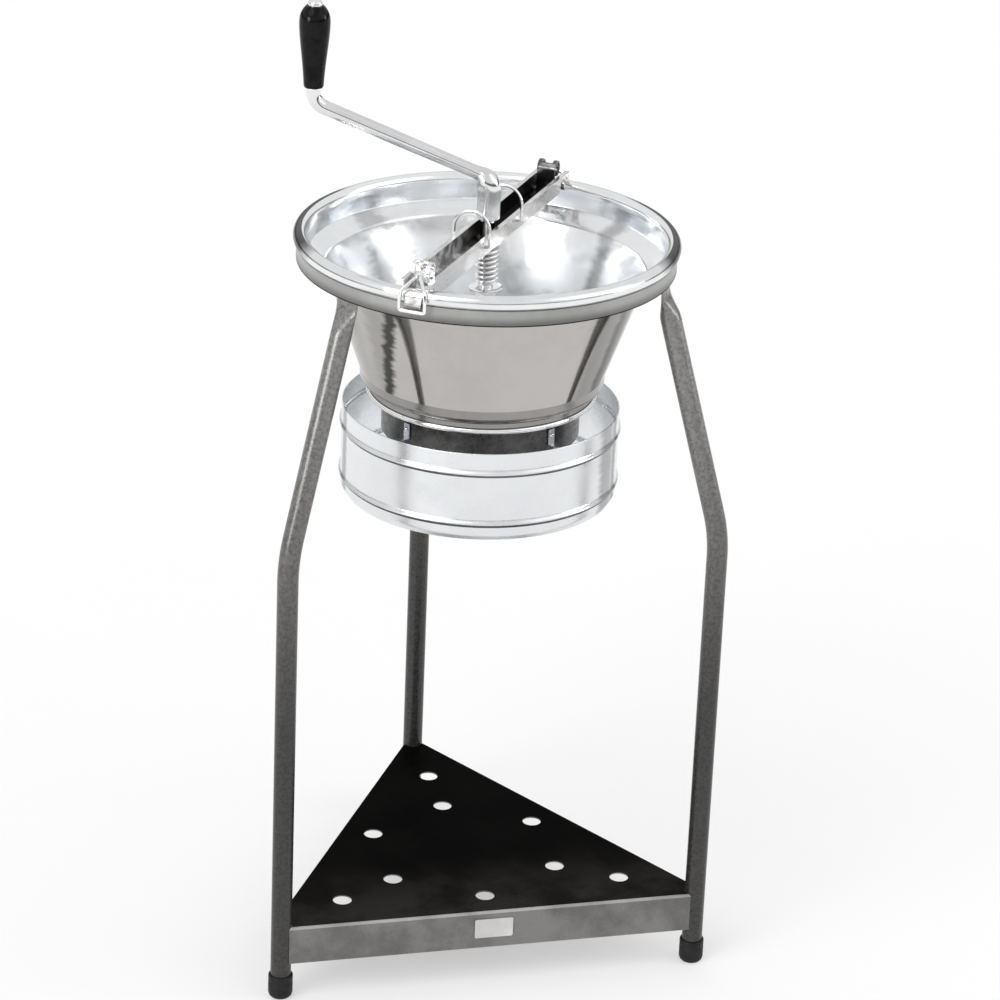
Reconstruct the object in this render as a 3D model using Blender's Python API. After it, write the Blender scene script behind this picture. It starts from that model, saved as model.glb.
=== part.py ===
"""A large hand-cranked food mill on a three-legged stand.

Metres, +Z up. The origin lies on the floor, under the middle of the object's bounding box.
The back leg stands at +Y, and the crank's axis a little in front of the origin.
"""
import math

import bmesh
import bpy
from mathutils import Matrix, Vector

# Shared clearances
TOUCH = 0.0003            # between two pieces that rest on each other
OVERRUN = 0.004           # how far a cutter runs past the wall that it cuts
SHEET = 0.0015            # tinned sheet of the hopper, neck and skirt

AXIS_BEFORE_ORIGIN = 0.038

# Stand: tube legs, their feet, the hoop that carries the hopper and the tray
LEG_AZIMUTHS = {"leg_front_left": 210.0, "leg_front_right": 330.0, "leg_back": 90.0}
LEG_CIRCLE_RADIUS = 0.263
LEG_RADIUS = 0.011
LEG_WALL = 0.0015
LEG_BEND_BELOW_HOOP = 0.267
LEG_BEND_RADIUS = 0.180
LEG_UPRIGHT_BELOW_HOOP = 0.009      # where the leg turns upright again, to lie in the hoop
LEG_UPRIGHT_BEND_RADIUS = 0.060
LEG_CRUSH_START_BELOW_HOOP = 0.037
LEG_CRUSH_END_BELOW_HOOP = 0.005
LEG_CRUSHED_WIDTH = 0.031
LEG_CRUSHED_THICKNESS = 0.0046
LEG_CRUSHED_SLIT = 0.0016
LEG_TOP_BELOW_RIM = 0.0165

FOOT_HEIGHT = 0.027
FOOT_FLOOR = 0.006
FOOT_WALL = 0.0018
FOOT_ROUND_SHARES = ((0.60, 0.00), (0.86, 0.07), (0.98, 0.20))

HOOP_RADIUS = 0.1965
HOOP_THICKNESS = 0.003
HOOP_HEIGHT = 0.0166

TRAY_TOP = 0.0854
TRAY_SHEET = 0.0015
TRAY_APRON_HEIGHT = 0.043
TRAY_BACK_FOLD_HEIGHT = 0.014
TRAY_EDGE_OUTSIDE_LEG_LINE = 0.0089
TRAY_EDGE_ROUND = 0.0025
TRAY_HOLE_RADIUS = 0.0102
TRAY_HOLE_CORNER_CIRCLE = 0.1774
TRAY_HOLE_INNER_CIRCLE = 0.1045

BADGE_WIDTH = 0.042
BADGE_HEIGHT = 0.0225
BADGE_THICKNESS = 0.0008
BADGE_CENTRE_X = 0.002
BADGE_CENTRE_HEIGHT = 0.0658
BADGE_CORNER = 0.002

# Hopper: the rolled rim, a short upright wall, a narrow ledge and a round cone
RIM_RADIUS = 0.200
RIM_ROLL_RADIUS = 0.0075
RIM_ROLL_HEIGHT = 0.799
WALL_TOP_RADIUS = 0.1870
LEDGE_RADIUS = 0.1860
LEDGE_BELOW_ROLL = 0.0215
CONE_TOP_RADIUS = 0.1670
LEDGE_DEPTH = 0.0103
CONE_BOTTOM_RADIUS = 0.1280
CONE_DEPTH = 0.1102
SHOULDER_ROUND = 0.0100
SHOULDER_START_ANGLE = -8.0
HOPPER_LIP_BELOW_CONE = 0.0158
HOPPER_LIP_RADIUS = 0.1170   # it rests on the neck's thick top ring
RIM_ROLL_STEPS = 8

# Neck under the hopper, and the sieve that lies in it
NECK_RADIUS = 0.104
NECK_DEPTH = 0.0519
NECK_SHOULDER_RADIUS = 0.1186
NECK_BEAD_RADIUS = 0.0032
NECK_BEAD_CENTRE_RADIUS = 0.1180
NECK_BEAD_CENTRE_DEPTH = 0.0087
NECK_BEAD_START_ANGLE = 79.0
NECK_COVE_RADIUS = 0.1085
NECK_COVE_DEPTH = 0.0149
NECK_LIP_RADIUS = 0.0975
SIEVE_THICKNESS = 0.0015
SIEVE_CENTRE_HOLE_RADIUS = 0.0061
SIEVE_HOLE_RADIUS = 0.0030
SIEVE_ROWS = ((0.034, 8), (0.058, 13), (0.082, 18))
SIEVE_HOLE_SIDES = 6

# Skirt round the neck, with its four straps
SKIRT_RADIUS = 0.1455
SKIRT_TOP_ABOVE_NECK_BOTTOM = 0.0290
SKIRT_DEPTH = 0.0960
SKIRT_BEAD_DEPTHS = (0.0216, 0.0770)
SKIRT_BEAD_RISE = 0.0023
SKIRT_BEAD_HALF_HEIGHT = 0.0036
SKIRT_HEM_RADIUS = 0.1415
SKIRT_HEM_HEIGHT = 0.007
STRAP_FIRST_AZIMUTH = 30.5
STRAP_COUNT = 4
STRAP_WIDTH = 0.008
STRAP_THICKNESS = 0.002
STRAP_TOP_ABOVE_SKIRT = 0.0020
STRAP_REACH_DEPTH = 0.0140
STRAP_BOTTOM_DEPTH = 0.0480
RIVET_RADIUS = 0.0026
RIVET_HEAD = 0.0016
# A rivet's head from its foot up: share of its radius, share of its height
RIVET_SHARES = ((1.00, 0.00), (0.92, 0.50), (0.60, 0.90), (0.00, 1.00))
NECK_RIVET_DEPTH = 0.0045
SKIRT_RIVET_DEPTH = 0.0400

# Crossbar: a channel with turned-out lips over the rim, its bearing and its wire hoops
BAR_AZIMUTH = 55.5
BAR_WIDTH = 0.028
BAR_LIP = 0.0035
BAR_SHEET = 0.0018
BAR_BOTTOM_BELOW_RIM = 0.0115
BAR_HEIGHT = 0.0205
BAR_WEB_HALF_LENGTH = 0.178
BAR_NOTCH_SLOPE = 0.004
BAR_REACH = 0.196
BUSH_BORE_CLEARANCE = 0.0004
BUSH_SLEEVE_RADIUS = 0.0092
BUSH_FLANGE_RADIUS = 0.0115
BUSH_FLANGE_THICKNESS = 0.003
BUSH_SLEEVE_BELOW_WEB = 0.0014
SPRING_WASHER_RADIUS = 0.0135
SPRING_WASHER_THICKNESS = 0.0017
HOOP_WIRE_RADIUS = 0.0017
HOOP_WIRE_PLACES = {"bar_hoop_front": -0.046, "bar_hoop_rear": 0.046}
HOOP_WIRE_BOTTOM_BELOW_BAR_TOP = 0.0100
HOOP_WIRE_STRAIGHT_ABOVE_BAR = 0.0075
HOOP_WIRE_CORNER = 0.0020

# Latches: at each end of the bar a spread wire loop hinges by its two ends in a slotted, curled eye
# and hooks under a catch on the rim
LATCH_SIDES = {"front": -1, "rear": 1}
EYE_CENTRE_REACH = 0.1780
EYE_CENTRE_ABOVE_BAR = 0.0070
EYE_RADIUS = 0.0085
EYE_STRIP = 0.0022
EYE_HALF_LENGTH = 0.0100
EYE_FOOT_START = 0.1450
EYE_CURL_END = -130.0
EYE_SLOT_HALF_WIDTH = 0.0060
EYE_SLOT_BEHIND_MIDDLE = 0.0049
EYE_SLOT_BEHIND_MIDDLE_BELOW = 0.0060
EYE_RIVET_REACH = 0.1560
EYE_RIVET_RADIUS = 0.0040
EYE_RIVET_HEAD = 0.0022
LATCH_WIRE_RADIUS = 0.0019
LATCH_PIVOT_OUT = 0.0026
LATCH_PIVOT_DOWN = 0.0030
LATCH_END_INSIDE_EYE = 0.0012
LATCH_NECK_HALF_WIDTH = 0.0024
LATCH_NECK_REACH = 0.0100
LATCH_NECK_DROP = 0.0020
LATCH_SHOULDER_REACH = 0.0232
LATCH_SHOULDER_HALF_WIDTH = 0.0124
LATCH_SHOULDER_DROP = 0.0125
LATCH_UPRIGHT_DROP = 0.0210
LATCH_FOOT_HALF_WIDTH = 0.0135
LATCH_BOTTOM_OUTSIDE_RIM = 0.0049
LATCH_BOTTOM_BELOW_CATCH = 0.0049
CATCH_ROUND = 0.0042
CATCH_CENTRE_BELOW_ROLL = 0.0075
CATCH_LENGTH = 0.0184
CATCH_TOP_ABOVE_CENTRE = 0.0095
CATCH_TOP_THICKNESS = 0.0015
CATCH_LIP_ANGLE = 40.0

# Crank: one bent rod from the sieve to the grip, with the spring's seat and collar
CRANK_AZIMUTH = 165.6
CRANK_RADIUS = 0.182
ROD_RADIUS = 0.0075
ROD_SLEEVE_RADIUS = 0.0121
ROD_SLEEVE_ABOVE_BAR = 0.0050
ROD_TIP_RADIUS = 0.0055
ROD_TIP_LENGTH = 0.0075
ROD_TIP_BELOW_SIEVE = 0.0028
ROD_LOWER_BEND_ABOVE_BAR = 0.0485
ROD_ARM_RISE = 0.0722
ROD_LOWER_BEND_RADIUS = 0.019
ROD_TAPER_LENGTH = 0.014
ARM_THIN_RADIUS = 0.0068
ROD_UPPER_BEND_RADIUS = 0.018
ROD_SHOULDER_ABOVE_BEND = 0.0153
SPINDLE_RADIUS = 0.0045
GRIP_WASHER_RADIUS = 0.0095
GRIP_WASHER_THICKNESS = 0.0014
GRIP_LENGTH = 0.0850
GRIP_RADIUS = 0.0160
GRIP_BORE_CLEARANCE = 0.0004
# Up the grip: share of its length, share of its largest radius
GRIP_SHARES = (
    (0.00, 0.54), (0.02, 0.62), (0.12, 0.65), (0.30, 0.73), (0.50, 0.87),
    (0.66, 0.97), (0.76, 1.00), (0.85, 0.96), (0.93, 0.83), (0.98, 0.66), (1.00, 0.56),
)
NUT_RADIUS = 0.0072
NUT_HEIGHT = 0.0055
NUT_DOME_SHARES = ((0.4, 1.0), (0.8, 0.8), (1.0, 0.4))
SPINDLE_IN_NUT = 0.0028
SPRING_SPACE = 0.0483          # between the bar and the spring seat
SEAT_THICKNESS = 0.0040
SEAT_RADIUS = 0.0180
SEAT_RIM = 0.0025
SEAT_LIP_RADIUS = 0.0150
COLLAR_RADIUS = 0.0120
COLLAR_HEIGHT = 0.0075
SPRING_WIRE_RADIUS = 0.0015
SPRING_COIL_RADIUS = 0.0110
SPRING_TURNS = 7
SPRING_POINTS_PER_TURN = 10
SPRING_ELBOW = 0.0016

# Blade and its hub
HUB_RADIUS = 0.016
HUB_ABOVE_SIEVE = 0.0042
HUB_HEIGHT = 0.0535
HUB_PIN_RADIUS = 0.0025
HUB_PIN_ABOVE_HUB_BOTTOM = 0.0415
HUB_PIN_HEAD = 0.0015
BLADE_RADIUS = 0.0985
BLADE_THICKNESS = 0.0022
BLADE_ABOVE_SIEVE = 0.0027
BLADE_RISE = 0.0560
BLADE_START_ANGLE = 20.0
BLADE_SPAN_ANGLE = 195.0
BLADE_STEPS = 13
BLADE_RADIAL_SHARES = (0.0, 0.5, 1.0)

# Facets round the turned pieces
FINE_SIDES = 48
ROD_SIDES = 14
ROD_SMOOTH_ANGLE = 40.0
LEG_SIDES = 12
LEG_BEND_STEPS = 4
SMALL_SIDES = 20
RIVET_SIDES = 8
FOOT_SIDES = 16
HOLE_SIDES = 16

for leftover in list(bpy.data.objects):
    bpy.data.objects.remove(leftover, do_unlink=True)


def material(name, colour, roughness, metallic):
    made = bpy.data.materials.new(name)
    made.use_nodes = True
    shader = made.node_tree.nodes["Principled BSDF"]
    shader.inputs["Base Color"].default_value = (*colour, 1.0)
    shader.inputs["Roughness"].default_value = roughness
    shader.inputs["Metallic"].default_value = metallic
    return made


TINNED = material("tinned_steel", (0.78, 0.78, 0.77), 0.22, 1.0)
DULL_TIN = material("dull_tinned_steel", (0.42, 0.41, 0.40), 0.35, 1.0)
BRIGHT_WIRE = material("bright_steel", (0.82, 0.82, 0.81), 0.15, 1.0)
BRASS = material("brass", (0.62, 0.48, 0.25), 0.35, 1.0)
GREY_PAINT = material("grey_painted_steel", (0.16, 0.16, 0.165), 0.38, 0.6)
HOOP_PAINT = material("hoop_grey_paint", (0.36, 0.36, 0.365), 0.42, 0.5)
BLACK_PAINT = material("black_painted_steel", (0.02, 0.02, 0.021), 0.40, 0.2)
BLACK_RUBBER = material("black_rubber", (0.012, 0.012, 0.012), 0.60, 0.0)
BLACK_GLOSS = material("black_gloss_plastic", (0.008, 0.008, 0.009), 0.12, 0.0)
PALE_PLATE = material("pale_aluminium", (0.70, 0.70, 0.70), 0.40, 0.9)


def axis_frame(name, parent=None, location=(0.0, 0.0, 0.0), azimuth=0.0):
    """An empty that stands on an axis and turns what it carries."""
    frame = bpy.data.objects.new(name, None)
    bpy.context.scene.collection.objects.link(frame)
    frame.location = location
    frame.rotation_euler = (0.0, 0.0, math.radians(azimuth))
    frame.parent = parent
    return frame


def finish(name, bm, look, parent=None, smooth_angle=35.0):
    """Turns a bmesh into a named object with faces pointing out."""
    bmesh.ops.remove_doubles(bm, verts=bm.verts, dist=1e-7)
    bmesh.ops.recalc_face_normals(bm, faces=bm.faces)
    mesh = bpy.data.meshes.new(name)
    bm.to_mesh(mesh)
    bm.free()
    mesh.shade_smooth()
    mesh.set_sharp_from_angle(angle=math.radians(smooth_angle))
    made = bpy.data.objects.new(name, mesh)
    made.data.materials.append(look)
    made.parent = parent
    bpy.context.scene.collection.objects.link(made)
    return made


def turned(name, outline, look, parent=None, sides=FINE_SIDES, centre=(0.0, 0.0)):
    """Spins a closed outline of (radius, height) points about an upright axis."""
    bm = bmesh.new()
    corners = [bm.verts.new((centre[0] + radius, centre[1], height)) for radius, height in outline]
    edges = [bm.edges.new((corners[i - 1], corners[i])) for i in range(len(corners))]
    bmesh.ops.spin(
        bm, geom=corners + edges, cent=(centre[0], centre[1], 0.0), axis=(0.0, 0.0, 1.0),
        angle=math.tau, steps=sides, use_merge=True, use_duplicate=False,
    )
    return finish(name, bm, look, parent)


def plate(name, outline, low, high, look, parent=None):
    """Extrudes a flat outline of (x, z) points across Y, from low to high."""
    bm = bmesh.new()
    face = bm.faces.new([bm.verts.new((x, low, z)) for x, z in outline])
    grown = bmesh.ops.extrude_face_region(bm, geom=[face])
    moved = [item for item in grown["geom"] if isinstance(item, bmesh.types.BMVert)]
    bmesh.ops.translate(bm, verts=moved, vec=(0.0, high - low, 0.0))
    return finish(name, bm, look, parent)


def prism(name, corners, low, high, look, parent=None):
    """Extrudes a flat outline of (x, y) corners upwards, from low to high."""
    bm = bmesh.new()
    face = bm.faces.new([bm.verts.new((x, y, low)) for x, y in corners])
    grown = bmesh.ops.extrude_face_region(bm, geom=[face])
    top = [item for item in grown["geom"] if isinstance(item, bmesh.types.BMVert)]
    bmesh.ops.translate(bm, verts=top, vec=(0.0, 0.0, high - low))
    return finish(name, bm, look, parent)


def wire(name, points, radius, look, parent=None, resolution=2):
    """A round wire along a list of points, with filled ends."""
    curve = bpy.data.curves.new(name, "CURVE")
    curve.dimensions = "3D"
    curve.bevel_depth = radius
    curve.bevel_resolution = resolution
    curve.use_fill_caps = True
    spline = curve.splines.new("POLY")
    spline.points.add(len(points) - 1)
    for slot, point in zip(spline.points, points):
        slot.co = (*point, 1.0)
    made = bpy.data.objects.new(name, curve)
    made.data.materials.append(look)
    made.parent = parent
    bpy.context.scene.collection.objects.link(made)
    return made


def hidden(cutter):
    """Marks a piece as a cutter, which isn't part of the object."""
    cutter.hide_render = True
    cutter.display_type = "WIRE"
    return cutter


def cylinder(name, radius, start, end, sides=HOLE_SIDES, parent=None, look=None):
    """A plain round bar between two points; with no material it is a cutter."""
    start, end = Vector(start), Vector(end)
    bm = bmesh.new()
    bmesh.ops.create_cone(
        bm, cap_ends=True, segments=sides, radius1=radius, radius2=radius, depth=(end - start).length,
    )
    turn = (end - start).to_track_quat("Z", "Y").to_matrix().to_4x4()
    bmesh.ops.transform(bm, matrix=Matrix.Translation((start + end) / 2) @ turn, verts=bm.verts)
    made = finish(name, bm, look or BRIGHT_WIRE, parent)
    return made if look else hidden(made)


def cut(target, cutter):
    """Takes one hidden cutter out of a piece."""
    step = target.modifiers.new("cut by " + cutter.name, "BOOLEAN")
    step.operation = "DIFFERENCE"
    step.solver = "EXACT"
    step.object = cutter


def arc(centre_x, centre_y, radius, start, end, steps):
    """Points on an arc, with its angles in degrees."""
    angles = [math.radians(start + (end - start) * i / steps) for i in range(steps + 1)]
    return [(centre_x + radius * math.cos(a), centre_y + radius * math.sin(a)) for a in angles]


def rounded_path(corners, radii, steps=5):
    """Joins straight runs of (x, z) points by an arc of the given radius at each inner corner."""
    path = [Vector(corners[0])]
    for before, here, after, radius in zip(corners, corners[1:], corners[2:], radii):
        here = Vector(here)
        inward = (Vector(before) - here).normalized()
        onward = (Vector(after) - here).normalized()
        half_turn = (math.pi - inward.angle(onward)) / 2
        reach = radius * math.tan(half_turn)
        centre = here + (inward + onward).normalized() * radius / math.cos(half_turn)
        first = here + inward * reach - centre
        sweep = first.angle_signed(here + onward * reach - centre)
        for i in range(steps + 1):
            path.append(centre + Matrix.Rotation(-sweep * i / steps, 2) @ first)
    path.append(Vector(corners[-1]))
    return path


def sweep_rings(bm, stations, sides):
    """Rings of vertices along a path in the XZ plane: (x, z, half width across, half width in plane)."""
    rings = []
    for i, (x, z, across, in_plane) in enumerate(stations):
        before, after = stations[max(i - 1, 0)], stations[min(i + 1, len(stations) - 1)]
        run = Vector((after[0] - before[0], 0.0, after[1] - before[1])).normalized()
        side = Vector((run.z, 0.0, -run.x))
        ring = []
        for k in range(sides):
            turn = math.tau * (k + 0.5) / sides
            offset = side * in_plane * math.cos(turn) + Vector((0.0, across * math.sin(turn), 0.0))
            ring.append(bm.verts.new(Vector((x, 0.0, z)) + offset))
        rings.append(ring)
    return rings


def skin(bm, rings):
    """Faces between neighbouring rings of equal length."""
    for low, high in zip(rings, rings[1:]):
        for k in range(len(low)):
            bm.faces.new((low[k - 1], low[k], high[k], high[k - 1]))


# Sizes that follow from the ones above
ROLL_CENTRE_RADIUS = RIM_RADIUS - RIM_ROLL_RADIUS
RIM_TOP = RIM_ROLL_HEIGHT + RIM_ROLL_RADIUS
LEDGE_HEIGHT = RIM_ROLL_HEIGHT - LEDGE_BELOW_ROLL
CONE_TOP_HEIGHT = LEDGE_HEIGHT - LEDGE_DEPTH
CONE_BOTTOM_HEIGHT = CONE_TOP_HEIGHT - CONE_DEPTH
HOPPER_LIP_HEIGHT = CONE_BOTTOM_HEIGHT - HOPPER_LIP_BELOW_CONE

HOOP_TOP = RIM_ROLL_HEIGHT - TOUCH - math.sqrt(
    RIM_ROLL_RADIUS ** 2 - (HOOP_RADIUS - HOOP_THICKNESS / 2 - ROLL_CENTRE_RADIUS) ** 2
)
HOOP_BOTTOM = HOOP_TOP - HOOP_HEIGHT
LEG_BEND_HEIGHT = HOOP_BOTTOM - LEG_BEND_BELOW_HOOP
LEG_UPRIGHT_HEIGHT = HOOP_BOTTOM - LEG_UPRIGHT_BELOW_HOOP
LEG_CRUSH_START = HOOP_BOTTOM - LEG_CRUSH_START_BELOW_HOOP
LEG_CRUSH_END = HOOP_BOTTOM - LEG_CRUSH_END_BELOW_HOOP

NECK_INNER_RADIUS = NECK_RADIUS - SHEET
NECK_TOP = HOPPER_LIP_HEIGHT - TOUCH
NECK_BOTTOM = NECK_TOP - NECK_DEPTH
NECK_COVE_HEIGHT = NECK_TOP - NECK_COVE_DEPTH
SIEVE_BOTTOM = NECK_BOTTOM + SHEET + TOUCH
SIEVE_TOP = SIEVE_BOTTOM + SIEVE_THICKNESS
SKIRT_TOP = NECK_BOTTOM + SKIRT_TOP_ABOVE_NECK_BOTTOM
SKIRT_BOTTOM = SKIRT_TOP - SKIRT_DEPTH
SKIRT_BEADS = [SKIRT_TOP - depth for depth in SKIRT_BEAD_DEPTHS]
STRAP_TOP = SKIRT_TOP + STRAP_TOP_ABOVE_SKIRT
STRAP_REACH_HEIGHT = SKIRT_TOP - STRAP_REACH_DEPTH
STRAP_BOTTOM = SKIRT_TOP - STRAP_BOTTOM_DEPTH
NECK_RIVET_HEIGHT = SKIRT_TOP - NECK_RIVET_DEPTH
SKIRT_RIVET_HEIGHT = SKIRT_TOP - SKIRT_RIVET_DEPTH

BAR_BOTTOM = RIM_TOP - BAR_BOTTOM_BELOW_RIM
BAR_WEB_TOP = BAR_BOTTOM + BAR_SHEET
BAR_TOP = BAR_BOTTOM + BAR_HEIGHT
NOTCH_HEIGHT = RIM_TOP + TOUCH
HOOP_WIRE_BOTTOM = BAR_TOP - HOOP_WIRE_BOTTOM_BELOW_BAR_TOP
HOOP_WIRE_STRAIGHT_TOP = BAR_TOP + HOOP_WIRE_STRAIGHT_ABOVE_BAR
EYE_CENTRE_HEIGHT = BAR_TOP + EYE_CENTRE_ABOVE_BAR
CATCH_CENTRE_HEIGHT = RIM_ROLL_HEIGHT - CATCH_CENTRE_BELOW_ROLL
CATCH_TOP_HEIGHT = CATCH_CENTRE_HEIGHT + CATCH_TOP_ABOVE_CENTRE
LATCH_BOTTOM_REACH = RIM_RADIUS + LATCH_BOTTOM_OUTSIDE_RIM
LATCH_BOTTOM_HEIGHT = CATCH_CENTRE_HEIGHT - LATCH_BOTTOM_BELOW_CATCH

WASHER_TOP = BAR_BOTTOM - TOUCH
WASHER_BOTTOM = WASHER_TOP - SPRING_WASHER_THICKNESS
BORE_RADIUS = ROD_RADIUS + BUSH_BORE_CLEARANCE
SEAT_TOP = BAR_BOTTOM - SPRING_SPACE
SEAT_BOTTOM = SEAT_TOP - SEAT_THICKNESS
COLLAR_TOP = SEAT_BOTTOM - TOUCH
ROD_BOTTOM = SIEVE_BOTTOM - ROD_TIP_BELOW_SIEVE
ROD_SLEEVE_BOTTOM = BAR_TOP + ROD_SLEEVE_ABOVE_BAR
ROD_LOWER_BEND_HEIGHT = BAR_TOP + ROD_LOWER_BEND_ABOVE_BAR
ROD_UPPER_BEND_HEIGHT = ROD_LOWER_BEND_HEIGHT + ROD_ARM_RISE
ROD_SHOULDER_HEIGHT = ROD_UPPER_BEND_HEIGHT + ROD_SHOULDER_ABOVE_BEND
WASHER_SEAT = ROD_SHOULDER_HEIGHT + TOUCH
GRIP_BOTTOM = WASHER_SEAT + GRIP_WASHER_THICKNESS + TOUCH
GRIP_TOP = GRIP_BOTTOM + GRIP_LENGTH
NUT_BOTTOM = GRIP_TOP + TOUCH
SPINDLE_TOP = NUT_BOTTOM + SPINDLE_IN_NUT
HUB_BOTTOM = SIEVE_TOP + HUB_ABOVE_SIEVE
HUB_TOP = HUB_BOTTOM + HUB_HEIGHT
HUB_PIN_HEIGHT = HUB_BOTTOM + HUB_PIN_ABOVE_HUB_BOTTOM
BLADE_LOW = SIEVE_TOP + BLADE_ABOVE_SIEVE


def leg_sections(shrink):
    """Sections of a leg, from its foot up: round tube, bent in, then crushed flat inside the hoop."""
    flat_radius = HOOP_RADIUS - HOOP_THICKNESS - TOUCH - LEG_CRUSHED_THICKNESS / 2
    corners = [
        (LEG_CIRCLE_RADIUS, FOOT_FLOOR + TOUCH),
        (LEG_CIRCLE_RADIUS, LEG_BEND_HEIGHT),
        (flat_radius, LEG_UPRIGHT_HEIGHT),
        (flat_radius, RIM_TOP - LEG_TOP_BELOW_RIM),
    ]
    path = rounded_path(corners, (LEG_BEND_RADIUS, LEG_UPRIGHT_BEND_RADIUS), steps=LEG_BEND_STEPS)
    bend_end = LEG_BEND_STEPS + 1
    lean_start, lean_end = path[bend_end], path[bend_end + 1]
    crush = LEG_CRUSH_END - LEG_CRUSH_START
    crush_place = (LEG_CRUSH_START - lean_start.y) / (lean_end.y - lean_start.y)
    path.insert(bend_end + 1, lean_start.lerp(lean_end, crush_place))
    sections = []
    for point in path:
        flat = min(max((point.y - LEG_CRUSH_START) / crush, 0.0), 1.0)
        flat = flat * flat * (3 - 2 * flat)
        across = LEG_RADIUS + (LEG_CRUSHED_WIDTH / 2 - LEG_RADIUS) * flat - shrink
        thick = LEG_CRUSHED_THICKNESS / 2 if shrink == 0.0 else LEG_CRUSHED_SLIT / 2
        in_plane = (LEG_RADIUS - shrink) + (thick - LEG_RADIUS + shrink) * flat
        sections.append((point.x, point.y, across, in_plane))
    return sections


def make_leg(name, azimuth, stand):
    bm = bmesh.new()
    outer = sweep_rings(bm, leg_sections(0.0), LEG_SIDES)
    inner = sweep_rings(bm, leg_sections(LEG_WALL), LEG_SIDES)
    skin(bm, outer + inner[::-1] + outer[:1])
    leg = finish(name, bm, GREY_PAINT, stand, smooth_angle=50.0)
    leg.rotation_euler = (0.0, 0.0, math.radians(azimuth))
    return leg


def make_foot(name, azimuth, stand):
    bore = LEG_RADIUS + TOUCH
    outer = bore + FOOT_WALL
    rounding = [(outer * share, FOOT_HEIGHT * rise) for share, rise in FOOT_ROUND_SHARES]
    outline = [(0.0, 0.0)] + rounding + [
        (outer, FOOT_FLOOR + FOOT_WALL),
        (outer, FOOT_HEIGHT - FOOT_WALL / 2),
        (outer - FOOT_WALL / 2, FOOT_HEIGHT),
        (bore, FOOT_HEIGHT),
        (bore, FOOT_FLOOR),
        (0.0, FOOT_FLOOR),
    ]
    foot = turned(name, outline, BLACK_RUBBER, stand, sides=FOOT_SIDES)
    turn = math.radians(azimuth)
    foot.location = (LEG_CIRCLE_RADIUS * math.cos(turn), LEG_CIRCLE_RADIUS * math.sin(turn), 0.0)
    return foot


def make_hoop(stand):
    inner = HOOP_RADIUS - HOOP_THICKNESS
    outline = [(inner, HOOP_BOTTOM), (HOOP_RADIUS, HOOP_BOTTOM), (HOOP_RADIUS, HOOP_TOP), (inner, HOOP_TOP)]
    return turned("stand_hoop", outline, HOOP_PAINT, stand)


def triangle(edge_distance, clip_radius):
    """A triangle whose edges lie edge_distance from the axis, with its corners cut off at clip_radius."""
    half = (2 * edge_distance - clip_radius) * math.tan(math.radians(30.0))
    points = []
    for azimuth in sorted(LEG_AZIMUTHS.values()):
        turn = math.radians(azimuth)
        out = Vector((math.cos(turn), math.sin(turn)))
        along = Vector((-math.sin(turn), math.cos(turn)))
        points += [out * clip_radius - along * half, out * clip_radius + along * half]
    return points


def make_tray(stand):
    """A folded triangular tray: a deep apron in front, shallow folds at the back, nine holes."""
    edge = LEG_CIRCLE_RADIUS / 2 + TRAY_EDGE_OUTSIDE_LEG_LINE
    bottom = TRAY_TOP - TRAY_APRON_HEIGHT
    fold_bottom = TRAY_TOP - TRAY_BACK_FOLD_HEIGHT
    bm = bmesh.new()
    face = bm.faces.new([bm.verts.new((p.x, p.y, bottom)) for p in triangle(edge, LEG_CIRCLE_RADIUS)])
    grown = bmesh.ops.extrude_face_region(bm, geom=[face])
    top = [item for item in grown["geom"] if isinstance(item, bmesh.types.BMVert)]
    bmesh.ops.translate(bm, verts=top, vec=(0.0, 0.0, TRAY_APRON_HEIGHT))
    folds = [
        e for e in bm.edges
        if all(abs(v.co.z - TRAY_TOP) < TOUCH for v in e.verts) and e.calc_length() > LEG_CIRCLE_RADIUS
    ]
    bmesh.ops.bevel(bm, geom=folds, offset=TRAY_EDGE_ROUND, segments=3, profile=0.5, affect="EDGES")
    tray = finish("base_tray", bm, BLACK_PAINT, stand, smooth_angle=0.0)
    pocket = [(p.x, p.y) for p in triangle(edge - TRAY_SHEET, LEG_CIRCLE_RADIUS + OVERRUN)]
    cut(tray, hidden(prism(
        "tray_pocket_cutter", pocket, bottom - OVERRUN, TRAY_TOP - TRAY_SHEET, BLACK_PAINT, stand,
    )))
    front = -edge + TRAY_SHEET
    back = LEG_CIRCLE_RADIUS + OVERRUN
    behind_apron = [(-back, front), (back, front), (back, back), (-back, back)]
    cut(tray, hidden(prism(
        "tray_back_cutter", behind_apron, bottom - OVERRUN, fold_bottom, BLACK_PAINT, stand,
    )))
    places = []
    for azimuth in LEG_AZIMUTHS.values():
        places += [(LEG_CIRCLE_RADIUS, azimuth, LEG_RADIUS + TOUCH, bottom - OVERRUN)]
        places += [(TRAY_HOLE_CORNER_CIRCLE, azimuth, TRAY_HOLE_RADIUS, TRAY_TOP - OVERRUN)]
        for step in (0.0, 60.0):
            places += [(TRAY_HOLE_INNER_CIRCLE, azimuth + step, TRAY_HOLE_RADIUS, TRAY_TOP - OVERRUN)]
    for index, (circle, azimuth, radius, low) in enumerate(places):
        turn = math.radians(azimuth)
        x, y = circle * math.cos(turn), circle * math.sin(turn)
        hole = cylinder(
            "tray_cutter_%d" % index, radius, (x, y, low), (x, y, TRAY_TOP + OVERRUN), parent=stand,
        )
        cut(tray, hole)
    return tray


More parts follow.
